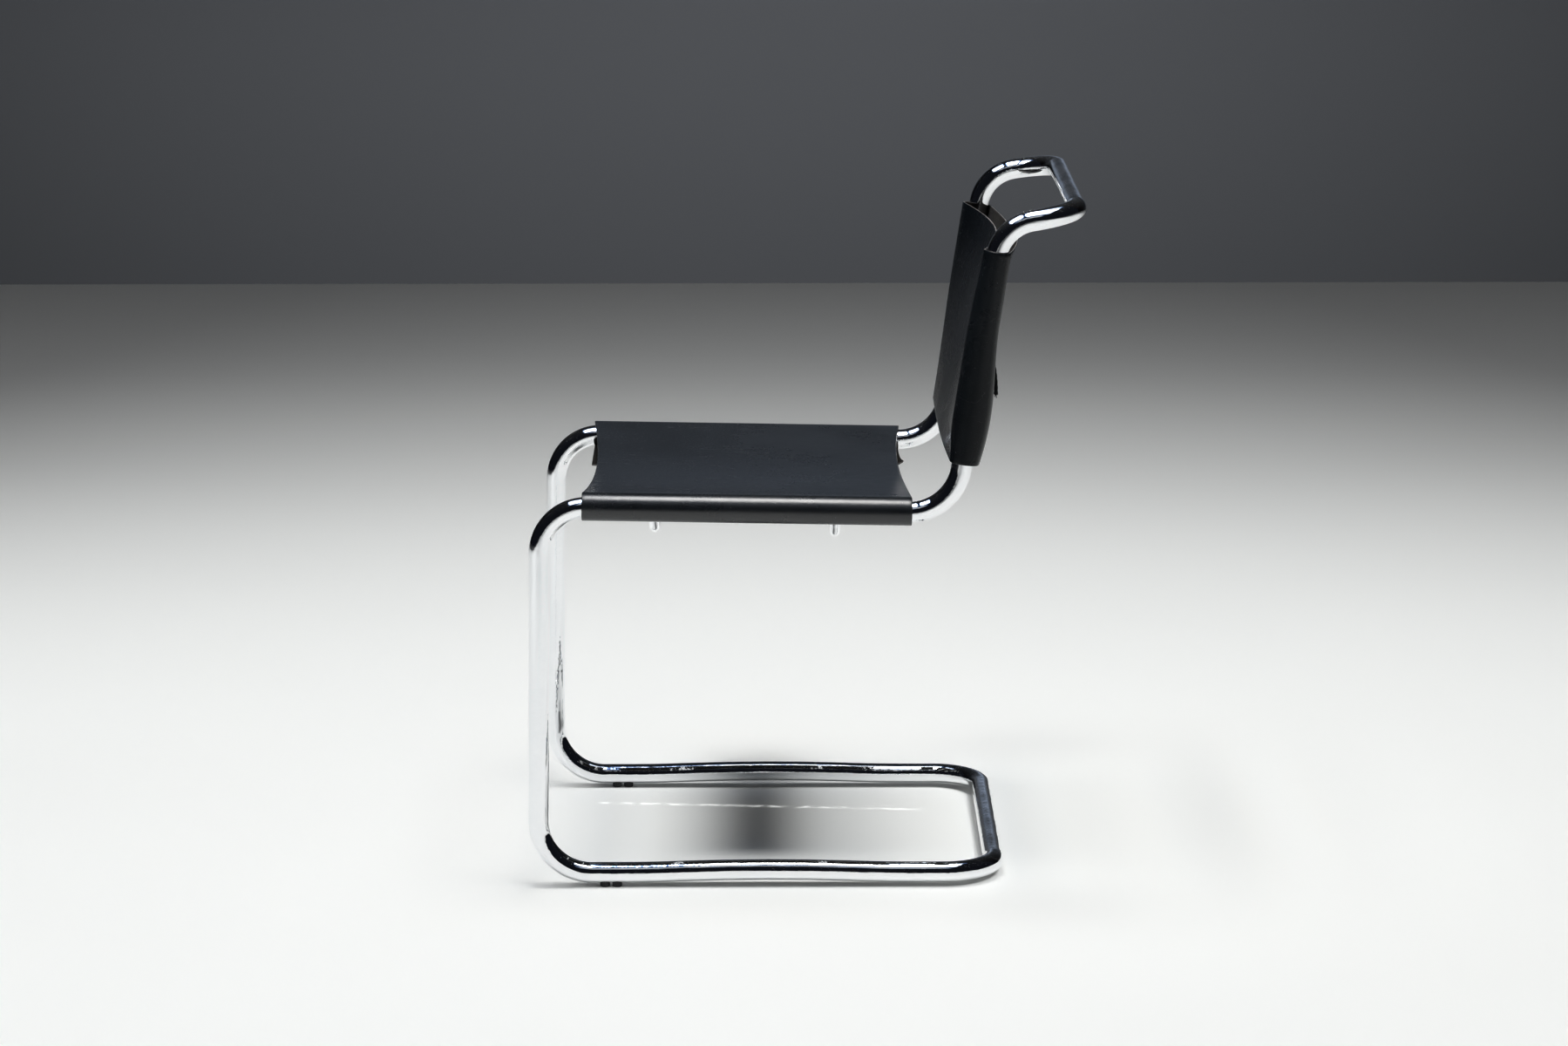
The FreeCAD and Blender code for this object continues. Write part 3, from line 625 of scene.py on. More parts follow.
# ------------------------------------------------------------------ materials
class Value:
    """A number, colour or vector inside a node tree, which sums can be written with."""

    def __init__(self, socket):
        self.socket = socket
        self.tree = socket.id_data

    def __add__(self, other):
        return maths("ADD", self, other)

    def __sub__(self, other):
        return maths("SUBTRACT", self, other)

    def __rsub__(self, other):
        return maths("SUBTRACT", other, self)

    def __mul__(self, other):
        return maths("MULTIPLY", self, other)

    def __rmul__(self, other):
        return maths("MULTIPLY", other, self)

    def __truediv__(self, other):
        return maths("DIVIDE", self, other)

    def __abs__(self):
        return maths("ABSOLUTE", self)


class Outputs:
    """A node's outputs, each a value by its name or number."""

    def __init__(self, node):
        self.node = node

    def __getitem__(self, key):
        return Value(self.node.outputs[key])


def give(socket, value):
    """Links a value to a socket, or sets the socket to a plain number or colour."""
    if isinstance(value, Value):
        value.tree.links.new(value.socket, socket)
    else:
        socket.default_value = value


def give_all(node, sockets):
    """Gives a node's sockets their values, by number or by name with _ for a space."""
    for key, value in sockets.items():
        give(node.inputs[key.replace("_", " ") if isinstance(key, str) else key], value)


def add_node(kind, settings=None, numbered=None, tree=None, **sockets):
    """A shader node in the tree of the values that it is given. Gives its outputs."""
    given = {**(numbered or {}), **sockets}
    tree = tree or next(value.tree for value in given.values() if isinstance(value, Value))
    made = tree.nodes.new(kind)
    for key, value in (settings or {}).items():
        setattr(made, key, value)
    give_all(made, given)
    return Outputs(made)


def maths(operation, first, second=0.0):
    """One sum on two values or numbers, of which at least one is a value."""
    return add_node("ShaderNodeMath", {"operation": operation}, {0: first, 1: second})[0]


def vector_maths(operation, first, *second):
    """One sum on one or two vectors. Gives the node's outputs."""
    return add_node("ShaderNodeVectorMath", {"operation": operation},
                    dict(enumerate((first, *second))))


def axes(vector):
    """The X, Y and Z of a vector."""
    return add_node("ShaderNodeSeparateXYZ", Vector=vector)


def noise(place, scale, **sockets):
    """A soft random pattern at a place."""
    return add_node("ShaderNodeTexNoise", Vector=place, Scale=scale, **sockets)["Fac"]


def stretched(place, scale):
    """A place with each axis scaled by a number of its own."""
    return add_node("ShaderNodeMapping", Vector=place, Scale=scale)[0]


def ranged(value, low, high, to_low=0.0, to_high=1.0):
    """A value taken from one range to another, and held inside it."""
    return add_node("ShaderNodeMapRange", Value=value, From_Min=low, From_Max=high,
                    To_Min=to_low, To_Max=to_high)["Result"]


def blended(share, first, second):
    """A colour between two, by a share."""
    return add_node("ShaderNodeMix", {"data_type": "RGBA"}, {0: share, 6: first, 7: second})[2]


def bump(height, strength, distance):
    """The surface's direction, tilted by a height of at most a distance."""
    return add_node("ShaderNodeBump", Strength=strength, Distance=distance,
                    Height=height)["Normal"]


def use_group(group, **sockets):
    """A node group in a material, with values of its own. Gives its outputs."""
    return add_node("ShaderNodeGroup", {"node_tree": group}, **sockets)


def new_group(name, inputs, outputs):
    """A node group with float or vector inputs and float outputs."""
    group = bpy.data.node_groups.new(name, "ShaderNodeTree")
    for socket, value in inputs.items():
        kind = "NodeSocketVector" if value is None else "NodeSocketFloat"
        made = group.interface.new_socket(socket, in_out="INPUT", socket_type=kind)
        if value is not None:
            made.default_value = value
    for socket in outputs:
        group.interface.new_socket(socket, in_out="OUTPUT", socket_type="NodeSocketFloat")
    given = Outputs(group.nodes.new("NodeGroupInput"))
    return group, given, group.nodes.new("NodeGroupOutput").inputs


def mottle_group():
    """Soft uneven patches, in two sizes, from 0 to 1."""
    group, given, result = new_group("soft_mottle", {"Vector": None, "Scale": 6.0}, ["Value"])
    broad = noise(given["Vector"], given["Scale"], Detail=3.0, Roughness=0.55)
    fine = noise(given["Vector"], given["Scale"] * 7.0, Detail=4.0, Roughness=0.6)
    give(result["Value"], ranged(broad * 0.65 + fine * 0.35, 0.35, 0.65))
    return group


def dust_group():
    """Sparse specks of dust: small cells, of which only a random few are kept."""
    group, given, result = new_group(
        "dust_specks", {"Vector": None, "Scale": 900.0, "Amount": 0.04}, ["Mask"])
    cells = add_node("ShaderNodeTexVoronoi", Vector=given["Vector"], Scale=given["Scale"],
                     Randomness=1.0)
    near = ranged(cells["Distance"], 0.35, 0.12)
    chance = add_node("ShaderNodeSeparateColor", Color=cells["Color"])[0]
    give(result["Mask"], near * maths("LESS_THAN", chance, given["Amount"]))
    return group


def scratch_group():
    """Short hairline scratches: thin contours of a noise, broken up by another."""
    group, given, result = new_group(
        "hairline_scratches", {"Vector": None, "Scale": 30.0, "Amount": 0.3}, ["Mask"])
    swirl = noise(given["Vector"], given["Scale"], Detail=2.0, Distortion=0.6)
    thin = ranged(abs(swirl - 0.5), 0.006, 0.0)
    patch = noise(given["Vector"], given["Scale"] * 1.7, Detail=1.0)
    shown = maths("GREATER_THAN", patch + given["Amount"] * 0.3, 0.65)
    give(result["Mask"], thin * shown)
    return group


GRAIN_WARP = 0.0012              # how far a noise shifts the grain's cells


def grain_group():
    """Leather grain: domed cells with creases between them, and fine pores."""
    group, given, result = new_group(
        "hide_grain", {"Vector": None, "Scale": 700.0}, ["Height", "Pores"])
    place, scale = given["Vector"], given["Scale"]
    warp = add_node("ShaderNodeTexNoise", Vector=place, Scale=scale * 0.4, Detail=2.0)["Color"]
    shift = add_node("ShaderNodeVectorMath", {"operation": "SCALE"}, Vector=warp,
                     Scale=GRAIN_WARP)[0]
    cells = add_node("ShaderNodeTexVoronoi", {"feature": "DISTANCE_TO_EDGE"},
                     Vector=vector_maths("ADD", place, shift)[0], Scale=scale)
    dome = ranged(cells["Distance"], 0.0, 0.25)
    pores = noise(place, scale * 1.9, Detail=3.0)
    give(result["Height"], dome * 0.7 + pores * 0.5)
    give(result["Pores"], ranged(pores, 0.62, 0.75))
    return group


MOTTLE = mottle_group()
DUST = dust_group()
SCRATCHES = scratch_group()
GRAIN = grain_group()


class Finish:
    """A material in the making. place is a point of the piece in metres, and uv its
    place in the piece's own pattern."""

    def __init__(self, name):
        self.material = bpy.data.materials.new(name)
        self.material.use_nodes = True
        self.tree = self.material.node_tree
        self.shader = self.tree.nodes["Principled BSDF"]
        where = add_node("ShaderNodeTexCoord", tree=self.tree)
        self.place, self.uv = where["Object"], where["UV"]

    def set(self, **sockets):
        """Gives the shader's sockets their values. Gives the material."""
        give_all(self.shader, sockets)
        return self.material

    def mottle(self, scale):
        return use_group(MOTTLE, Vector=self.place, Scale=scale)["Value"]

    def dust(self, scale, amount):
        return use_group(DUST, Vector=self.place, Scale=scale, Amount=amount)["Mask"]


DUST_HAZE = 0.03                 # how far the dust film on top of the tubes hides the chrome
DUST_FACES = (0.3, 0.95)         # dust settles where a tube faces up by this much
PLATE_TONES = ((0.93, 0.945, 0.965), (0.975, 0.985, 1.0))


def chrome(name, ripple, dustiness, brightness):
    """Bright chrome plate: ripples of the bent steel, polishing lines along it,
    hairlines, and dust where it faces up. brightness is its blue reflectance."""
    finish = Finish(name)
    place = finish.place
    uneven = finish.mottle(14.0)
    facing = add_node("ShaderNodeNewGeometry", tree=finish.tree)["Normal"]
    upward = ranged(axes(facing)["Z"], *DUST_FACES)
    specks = finish.dust(950.0, upward * dustiness)
    dust = maths("MAXIMUM", specks, upward * (uneven * DUST_HAZE))
    hairlines = use_group(SCRATCHES, Vector=place, Scale=60.0, Amount=0.25)["Mask"]
    rough = ranged(uneven, 0.2, 1.0, 0.018, 0.05) + hairlines * 0.12 + dust * 0.5
    tint = blended(uneven, *([brightness * part for part in tone] + [1] for tone in PLATE_TONES))
    run = axes(finish.uv)
    turn = run["Y"] * (2 * math.pi)
    drawn = add_node("ShaderNodeCombineXYZ", X=run["X"] * 2.2, Y=maths("COSINE", turn),
                     Z=maths("SINE", turn))[0]
    waves = noise(place, 22.0, Detail=2.0, Roughness=0.45)
    ripples = noise(place, 130.0, Detail=1.0)
    lines = noise(drawn, 11.0, Detail=3.0)
    return finish.set(Base_Color=blended(dust, tint, (0.50, 0.53, 0.58, 1)), Roughness=rough,
                      Metallic=1.0 - dust * 0.85,
                      Normal=bump(waves + ripples * 0.22 + lines * 0.13, 1.0, ripple))


# The leather's finish changes over these distances, in metres.
LEATHER_ACROSS = (-0.2, 0.2)     # from right to left
LEATHER_AHEAD = (-0.22, 0.08)    # from the front to the rear
LEATHER_DOWN = (0.74, 0.56)      # from the back's head to its foot
LEATHER_BENDS = (0.205, 0.226)   # from the face to the turn round a tube, by distance aside
GLOSS_UNLINKED = 0.3             # where the varying gloss isn't read


def leather_grain(name, tones, worn, aside, matt, relief):
    """Black saddle leather, grain side: satin, with creases, scuffs and dust.

    tones are its darkest colours on the right and left, and matt its least
    roughness at the front and the rear. The colour running from one tone to the
    other across it is painted light, for how light falls on each side, not a
    difference in the hide. It is worn glossier in places: worn gives
    the specular level of its face at head and foot, and that of its bends round
    the tubes at head and foot, and aside the share of that on its face's right and
    left. relief is the height of its grain.
    """
    finish = Finish(name)
    place = finish.place
    uneven = finish.mottle(9.0)
    grain = use_group(GRAIN, Vector=place, Scale=520.0)
    scuffs = use_group(SCRATCHES, Vector=stretched(place, (1.0, 0.3, 1.0)), Scale=34.0,
                       Amount=0.45)["Mask"]
    dust = finish.dust(420.0, 0.012)
    split = axes(place)
    right, left = (blended(uneven, tone, [part * 1.45 for part in tone[:3]] + [1])
                   for tone in tones)
    # Painted light: the colour runs from the right tone to the left across the leather, for how
    # light falls on each side.
    base = blended(ranged(split["X"], *LEATHER_ACROSS), right, left)
    scuffed = blended(scuffs * 0.12, base, (0.12, 0.125, 0.14, 1))
    rough = (ranged(uneven, 0.0, 1.0, 0.0, 0.07) + ranged(split["Y"], *LEATHER_AHEAD, *matt)
             + grain["Pores"] * 0.12 + scuffs * 0.05)
    face, bends = (ranged(split["Z"], *LEATHER_DOWN, *levels) for levels in (worn[:2], worn[2:]))
    face = face * ranged(split["X"], *LEATHER_ACROSS, *aside)
    bent = ranged(abs(split["X"]), *LEATHER_BENDS)
    low = noise(place, 45.0, Detail=3.0)
    finish.set(Specular_IOR_Level=GLOSS_UNLINKED)
    return finish.set(Base_Color=blended(dust * 0.5, scuffed, (0.25, 0.26, 0.28, 1)),
                      Roughness=rough, Specular_IOR_Level=face + bent * (bends - face),
                      Normal=bump(grain["Height"] * 0.12 + low * 0.9, 0.6, relief))


def leather_flesh():
    """Flesh side of the leather: brown-grey nap of short fibres."""
    finish = Finish("saddle_leather_flesh")
    fibres = noise(stretched(finish.place, (1.0, 2.6, 1.6)), 620.0, Detail=5.0, Roughness=0.65)
    shade = finish.mottle(16.0) * 0.5 + fibres * 0.5
    return finish.set(
        Base_Color=blended(shade, (0.0040, 0.0036, 0.0033, 1), (0.020, 0.0175, 0.0155, 1)),
        Roughness=ranged(shade, 0.0, 1.0, 0.97, 0.8), Specular_IOR_Level=0.12,
        Sheen_Weight=0.02, Normal=bump(fibres, 0.8, 0.0005))


def leather_cut():
    """Cut edge of the leather: burnished dark grey, with its layers just showing."""
    finish = Finish("saddle_leather_cut")
    uneven = finish.mottle(40.0)
    fibres = noise(finish.place, 900.0, Detail=3.0)
    return finish.set(
        Base_Color=blended(uneven, (0.068, 0.064, 0.060, 1), (0.155, 0.147, 0.140, 1)),
        Roughness=ranged(uneven, 0.0, 1.0, 0.24, 0.42), Normal=bump(fibres, 0.5, 0.0003))


def lace_cotton():
    """Black braided cotton: each strand a soft sheen, and its colour painted darker in the
    grooves and lighter on the crowns, as shade.
    """
    finish = Finish("lace_cotton")
    run = axes(finish.uv)
    turn = run["X"] * (2 * math.pi * BRAID_STRANDS)
    wind = run["Y"] * (2 * math.pi)
    crown = maths("MAXIMUM", maths("COSINE", turn + wind), maths("COSINE", turn - wind))
    yarn = noise(finish.place, 2600.0, Detail=3.0)
    # Painted shade: darker in the grooves between strands, lighter on their crowns, with random
    # yarn.
    shade = ranged(crown, -0.4, 1.0) * 0.7 + yarn * 0.3
    return finish.set(
        Base_Color=blended(shade, (0.0015, 0.0015, 0.0018, 1), (0.010, 0.010, 0.011, 1)),
        Roughness=ranged(shade, 0.0, 1.0, 0.95, 0.7), Specular_IOR_Level=0.1,
        Sheen_Weight=0.02, Normal=bump(shade, 0.7, 0.0003))


def glide_rubber():
    """Black moulded rubber, dusty from the floor."""
    finish = Finish("glide_rubber")
    uneven = finish.mottle(60.0)
    base = blended(uneven, (0.012, 0.012, 0.013, 1), (0.03, 0.03, 0.031, 1))
    return finish.set(Base_Color=blended(finish.dust(1500.0, 0.06), base, (0.2, 0.2, 0.2, 1)),
                      Roughness=ranged(uneven, 0.0, 1.0, 0.6, 0.85),
                      Normal=bump(uneven, 0.4, 0.0002))


def bare_steel(name, colour, roughness):
    """Turned steel: fine rings along the piece and a little tarnish."""
    finish = Finish(name)
    rings = noise(stretched(finish.place, (0.2, 40.0, 0.2)), 90.0, Detail=4.0)
    dull = [part * 0.7 for part in colour[:3]] + [1]
    return finish.set(Base_Color=blended(finish.mottle(50.0), colour, dull), Metallic=1.0,
                      Roughness=ranged(rings, 0.3, 0.7, roughness, roughness + 0.15),
                      Normal=bump(rings, 0.3, 0.0001))


# ------------------------------------------------------------------ build: frame
tube_chrome = chrome("chromed_tube", ripple=0.0005, dustiness=0.10, brightness=0.91)
# The rods' plate is brighter than the tubes': painted light, standing in for the pale floor that
# the rods mirror.
rod_chrome = chrome("chromed_rod", ripple=0.0003, dustiness=0.05, brightness=1.0)

base_tube = add_piece("base_tube_chromed", hollow_tube(
    "base_tube_chromed",
    [splice, rail_front, leg_foot, runner_front, runner_mid, runner_rear, floor_rear],
    [FRONT_TOP_BEND, FRONT_FLOOR_BEND, RUNNER_EASE, RUNNER_CROWN, RUNNER_EASE,
     REAR_FLOOR_BEND]), tube_chrome)
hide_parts("base_tube")

back_tube = add_piece("back_tube_chromed", hollow_tube(
    "back_tube_chromed", [splice, rail_rear, curl, head],
    [SEAT_REAR_BEND, CURL_BEND, HEAD_BEND]), tube_chrome)
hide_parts("back_tube")

for word, (rod_place, rod_drop) in (("front", FRONT_ROD), ("rear", REAR_ROD)):
    rod_name = f"{word}_stretcher_rod"
    rod = add_piece(rod_name, coped_rod(rod_name, rod_place, rod_drop), rod_chrome)
    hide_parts(f"{word}_stretcher")

plain_finishes = {"splice_sleeve": bare_steel("sleeve_steel", (0.42, 0.41, 0.40, 1), 0.35),
                  "splice_screws": bare_steel("screw_steel", (0.58, 0.58, 0.57, 1), 0.25),
                  "glides": glide_rubber()}
for node_name, node_object in nodes.items():
    for word, plain_finish in plain_finishes.items():
        if word in node_name:
            node_object.data.materials.clear()
            node_object.data.materials.append(plain_finish)

# ------------------------------------------------------------------ build: leather
flesh, cut_edge = leather_flesh(), leather_cut()
seat_grain = leather_grain(
    "seat_leather_grain", tones=((0.0180, 0.0206, 0.0245, 1), (0.0076, 0.0090, 0.0108, 1)),
    worn=(0.22, 0.22, 0.60, 0.60), aside=(1.45, 0.5), matt=(0.195, 0.27), relief=0.0005)
back_grain = leather_grain(
    "back_leather_grain", tones=((0.0024, 0.0037, 0.0054, 1), (0.0052, 0.0067, 0.0084, 1)),
    worn=(0.01, 0.16, 0.20, 0.13), aside=(1.0, 1.0), matt=(0.23, 0.23), relief=0.0002)
seat_start = rail_front + rail_ahead * SEAT_PLACE
back_foot = rail_rear + back_up * BACK_PLACE
back_top = back_foot + back_up * BACK_SLING_LENGTH
seat_rungs = rung_places(SEAT_LENGTH, SEAT_RUNGS)
back_rungs = rung_places(BACK_SLING_LENGTH, BACK_RUNGS)
spare_out = BACK_SLING_LENGTH - TAIL_PLACE


def placer(origin, up, along):
    """Takes sling coordinates to the chair's frame."""
    def place(x, y, z):
        return (origin + np.asarray(x)[..., None] * ACROSS + np.asarray(y)[..., None] * up
                + np.asarray(z)[..., None] * along)
    return place


BACK_SLIP = 0.0062               # the back has slipped down its tubes by this,
BACK_SKEW = 0.0043               # by this much more at the right and less at the left
BACK_SHRINK = 0.977


def back_place(x, y, z):
    """The back has slipped a little down its tubes, more so on the right."""
    slip = BACK_SLIP - BACK_SKEW * np.asarray(x) / HALF_WIDTH
    return hung_place(x, y, slip + BACK_SHRINK * np.asarray(z))


laid_place = placer(seat_start, rail_up, rail_ahead)
hung_place = placer(back_top, back_face, -back_up)
SEAT_FRONT_DRIFT = (-0.0012, 0.0008)   # of the front end: at the middle, and more to the left
SEAT_REAR_DRIFT = (0.0009, 0.0019)
FLAP_CURL = 0.011                # the seat's right flap curls up at its rear corner
FLAP_CURL_REACH = 0.012
FLAP_CURL_RUN = 0.25             # of its rise, by which the curl runs on to the rear
SEAT_STANDOFF = 0.0020           # the seat's leather stands off the tubes on top by this
SEAT_STRETCH = (0.0015, 0.0008)  # face and flaps hang deeper by these at the seat's middle


def seat_place(x, y, z):
    """The seat has pulled a little out of square, and a free corner curls up.

    The curl grows with the square of the way from the tube to the flap's edge, and
    dies off along the flap by a power of e.
    """
    share = np.asarray(z) / SEAT_LENGTH
    side = np.asarray(x) / HALF_WIDTH
    drift = ((SEAT_FRONT_DRIFT[0] + SEAT_FRONT_DRIFT[1] * side) * (1 - share)
             + (SEAT_REAR_DRIFT[0] + SEAT_REAR_DRIFT[1] * side) * share)
    inward = np.clip((1 + side) / (1 - SEAT_GAP / 2 / HALF_WIDTH), 0, 1)
    on_right_flap = (side < 0) & (np.asarray(y) < -WRAP_IN / 2)
    fall = np.exp(-np.clip(SEAT_LENGTH - np.asarray(z), 0, None) / FLAP_CURL_REACH)
    curl = np.where(on_right_flap, FLAP_CURL * inward ** 2 * fall, 0.0)
    return laid_place(x, y + curl, z + drift + FLAP_CURL_RUN * curl)


def seat_shape(along, side):
    """Sag, front, turn and bulge of the seat: the leather has stretched most at its
    middle, and stands a little off the tubes on top."""
    middle = 1 - (2 * along / SEAT_LENGTH - 1) ** 2
    return (SEAT_SAG + SEAT_STRETCH[0] * middle, WRAP_OUT + SEAT_STANDOFF, WRAP_OUT,
            SEAT_DROOP + SEAT_STRETCH[1] * middle)


def seat_hollow(x):
    """How far the seat's ends are cut back: nothing at the tubes, and between them
    one less the square of the way across, times the depth at that place."""
    share = np.clip(x / HALF_WIDTH, -1, 1)
    arch = 1 - share ** 2
    return SEAT_FRONT_HOLLOW * arch, (SEAT_REAR_HOLLOW - SEAT_REAR_SKEW * share) * arch


def no_hollow(x):
    """The back's ends are cut straight."""
    return 0.0, 0.0


# The back leather's lie, by the distance below its top. A radius is given with what
# changes it, by how much, and where.
BACK_BELLY = (0.090, 0.206)
BACK_DRAWN = 0.057               # it draws in again over this, under the belly
BACK_FLARE = 0.016               # the top edge's flare dies off over this
LEFT_FRONT, LEFT_FULLER, LEFT_FULLER_AT = 0.0159, 0.0042, (-0.020, 0.120)
LEFT_TIGHTER, LEFT_TIGHTER_AT = 0.0049, (0.212, 0.265)
RIGHT_FRONT, RIGHT_TIGHTER, RIGHT_TIGHTER_AT = 0.0209, 0.0026, (0.080, 0.250)
BACK_TURN, TURN_BELLY, TURN_FOOT, TURN_FLARE = 0.0173, 0.0082, 0.0052, 0.0008
BACK_BULGE, BULGE_RIGHT, BULGE_LEFT = 0.0050, 0.0100, 0.0150


def back_shape(along, side):
    """Sag, front, turn and bulge of the back at a distance below its top.

    The leather stands off the tubes most in a belly over the foot, to which it
    draws in again, and the free top edge of the flaps flares. On the right it has
    pulled forward at the top.
    """
    share = along / BACK_SLING_LENGTH
    belly = smooth_share(along, *BACK_BELLY)
    foot = np.clip((along - BACK_BELLY[1]) / BACK_DRAWN, 0, 1) ** 2
    flare = np.exp(-along / BACK_FLARE)
    sag = BACK_TOP_SAG * (1 - share) + BACK_FOOT_SAG * share
    left_front = (LEFT_FRONT + LEFT_FULLER * smooth_share(along, *LEFT_FULLER_AT)
                  - LEFT_TIGHTER * smooth_share(along, *LEFT_TIGHTER_AT))
    right_front = RIGHT_FRONT - RIGHT_TIGHTER * smooth_share(along, *RIGHT_TIGHTER_AT)
    front = np.where(side < 0, right_front, left_front)
    turn = BACK_TURN + TURN_BELLY * belly - TURN_FOOT * foot - TURN_FLARE * flare
    return sag, front, turn, BACK_BULGE + np.where(side < 0, BULGE_RIGHT, BULGE_LEFT) * flare


seat_sling = add_piece(
    "seat_sling_leather",
    sling_mesh("seat_sling_leather", SEAT_LENGTH, SEAT_GAP, seat_shape,
               [(side, at, HOLE_INSET) for side in (1, -1) for at in seat_rungs],
               seat_hollow, seat_place), seat_grain, flesh, cut_edge)
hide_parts("seat_sling")

back_sling = add_piece(
    "back_sling_leather",
    sling_mesh("back_sling_leather", BACK_SLING_LENGTH, BACK_GAP, back_shape,
               [(side, at, HOLE_INSET) for side in (1, -1) for at in back_rungs]
               + [(-1, spare_out, HOLE_INSET + LACE_RETURN)], no_hollow, back_place),
    back_grain, flesh, cut_edge)
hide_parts("back_sling")

# ------------------------------------------------------------------ build: laces
cotton = lace_cotton()
KNOT_ROOM = KNOT_RADIUS + LACE_FIT
INNER_ROOM = 0.0033 + LACE_FIT   # the knot inside the back lies where the hollow is thin
SEAT_SLACK, BACK_SLACK = 0.0015, 0.0008      # the most that a rung bows


def lace_parts(corners, hole, slack, rungs, place, knots):
    """A braided lace through its corners, with its knots, in the chair's frame."""
    local = [np.array(corner, float) for corner in corners]
    points, directions = rounded_path(local, [LACE_BEND] * (len(local) - 2))
    points[:, 1] -= rung_bow(points, hole, slack, rungs)
    placed = place(points[:, 0], points[:, 1], points[:, 2])
    turned = place(directions[:, 0], directions[:, 1], directions[:, 2]) - place(0, 0, 0)
    parts = [braid_tube(placed, turned)]
    parts += [knot_tube(place(*knot), KNOT_RADIUS) for knot in knots]
    return parts


def seat_flap_at(across, wrap, along):
    """Height of the seat's flaps at a distance across and along."""
    return flap_height(across, wrap, *seat_shape(along, np.sign(across))[2:])


def back_flap_at(across, wrap, along):
    """The same for the back's flaps."""
    return flap_height(across, wrap, *back_shape(along, np.sign(across))[2:])


seat_corners = ladder(SEAT_GAP, seat_flap_at, seat_rungs, -1)
for end in (0, -1):
    seat_corners[end] = knot_seat(seat_corners[end], WRAP_IN, seat_flap_at, 1, KNOT_ROOM)
seat_lace = add_piece("seat_lace_braid", joined("seat_lace_braid", lace_parts(
    seat_corners, SEAT_GAP / 2 + HOLE_INSET, SEAT_SLACK, seat_rungs, seat_place,
    [seat_corners[0], seat_corners[-1]])), cotton)
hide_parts("seat_lace")

back_route = ladder(BACK_GAP, back_flap_at, back_rungs, 1)
back_route[0] = knot_seat(back_route[0], WRAP_IN, back_flap_at, 1, INNER_ROOM)
spare_x = back_route[-1][0] - LACE_RETURN
for along in (back_rungs[-1], spare_out):
    back_route.append((spare_x, back_flap_at(spare_x, WRAP_IN, along) + HOLE_RADIUS, along))
last_knot = knot_seat(back_route[-1], WRAP_OUT, back_flap_at, -1, KNOT_ROOM)
back_route.append(last_knot)
back_lace = add_piece("back_lace_braid", joined("back_lace_braid", lace_parts(
    back_route, BACK_GAP / 2 + HOLE_INSET, BACK_SLACK, back_rungs, back_place,
    [back_route[0], last_knot])), cotton)
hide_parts("back_lace")

# The tail hangs from the last knot, and ends in a small knot of its own.
TAIL_ROUTE = [(0, 0, 0), (0.0005, 0.0035, -0.012), (-0.0005, 0.0070, -0.028),
              (0.0005, 0.0090, -0.046), (0, 0.0090, -0.063)]
TAIL_LOOSENED = 0.6              # its braid is fuller by this share of its radius at the end
TAIL_STEPS = 24                  # points to each stretch of its line
tail_start = back_place(*last_knot)


def spline_points(route):
    """Points along the smooth line that a NURBS spline draws through a route."""
    curve = bpy.data.curves.new("tail_line", "CURVE")
    curve.dimensions = "3D"
    spline = curve.splines.new("NURBS")
    spline.points.add(len(route) - 1)
    for point, place in zip(spline.points, route):
        point.co = (*place, 1.0)
    spline.order_u = 3
    spline.use_endpoint_u = True
    spline.resolution_u = TAIL_STEPS
    holder = bpy.data.objects.new("tail_line", curve)
    line = bpy.data.meshes.new_from_object(holder)
    points = np.zeros(len(line.vertices) * 3)
    line.vertices.foreach_get("co", points)
    bpy.data.objects.remove(holder)
    bpy.data.curves.remove(curve)
    bpy.data.meshes.remove(line)
    return points.reshape(-1, 3)


tail_points = spline_points([tail_start + np.array(step) for step in TAIL_ROUTE])
tail = add_piece("lace_tail", joined("lace_tail", [
    braid_tube(tail_points, path_directions(tail_points), TAIL_LOOSENED)]), cotton)
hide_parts("back_lace_tail")


STRANDS = 16
STRAND_LENGTH, STRAND_RADIUS = 0.006, 0.00022
STRAND_STEPS, STRAND_AROUND = 7, 5
STRAND_TURN = 2.4                # each next strand leaves the knot this much further round
STRAND_START = 0.0006            # from the knot's middle
STRAND_SPREAD = (0.0006, 0.0016)     # the least, and what is added by a strand's number
STRAND_REACH = (0.6, 0.4)        # the same, as shares of its length
STRAND_BOW = 1.5                 # the power by which it moves out


def frayed_strands(start):
    """Loose yarn ends that fan out below a knot, each a thin tapering bow.

    A strand moves out by a power of the way along it, and its spread and length
    come from the fraction of a multiple of its number.
    """
    parts = []
    along = np.linspace(0, 1, STRAND_STEPS)
    for i in range(STRANDS):
        angle = STRAND_TURN * i
        spread = STRAND_SPREAD[0] + STRAND_SPREAD[1] * ((i * 0.37) % 1)
        reach = STRAND_LENGTH * (STRAND_REACH[0] + STRAND_REACH[1] * ((i * 0.61) % 1))
        side = np.array([math.cos(angle), math.sin(angle), 0])
        points = (start + side * (STRAND_START + spread * along[:, None] ** STRAND_BOW)
                  - np.array([0, 0, reach]) * along[:, None])
        taper = STRAND_RADIUS * (1 - 0.5 * along)[:, None]
        rings = path_rings(points, path_directions(points), taper, STRAND_AROUND)
        faces, corners = grid_faces(len(rings), STRAND_AROUND, close_columns=True)
        parts.append(closed_tube(rings, faces, corners[:, :, ::-1] / STRAND_AROUND))
    return parts


tail_end = tail_points[-1]
tail_knot = add_piece("tail_end_knot", joined(
    "tail_end_knot", [knot_tube(tail_end, TAIL_KNOT_RADIUS), *frayed_strands(tail_end)]), cotton)
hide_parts("tail_knot")


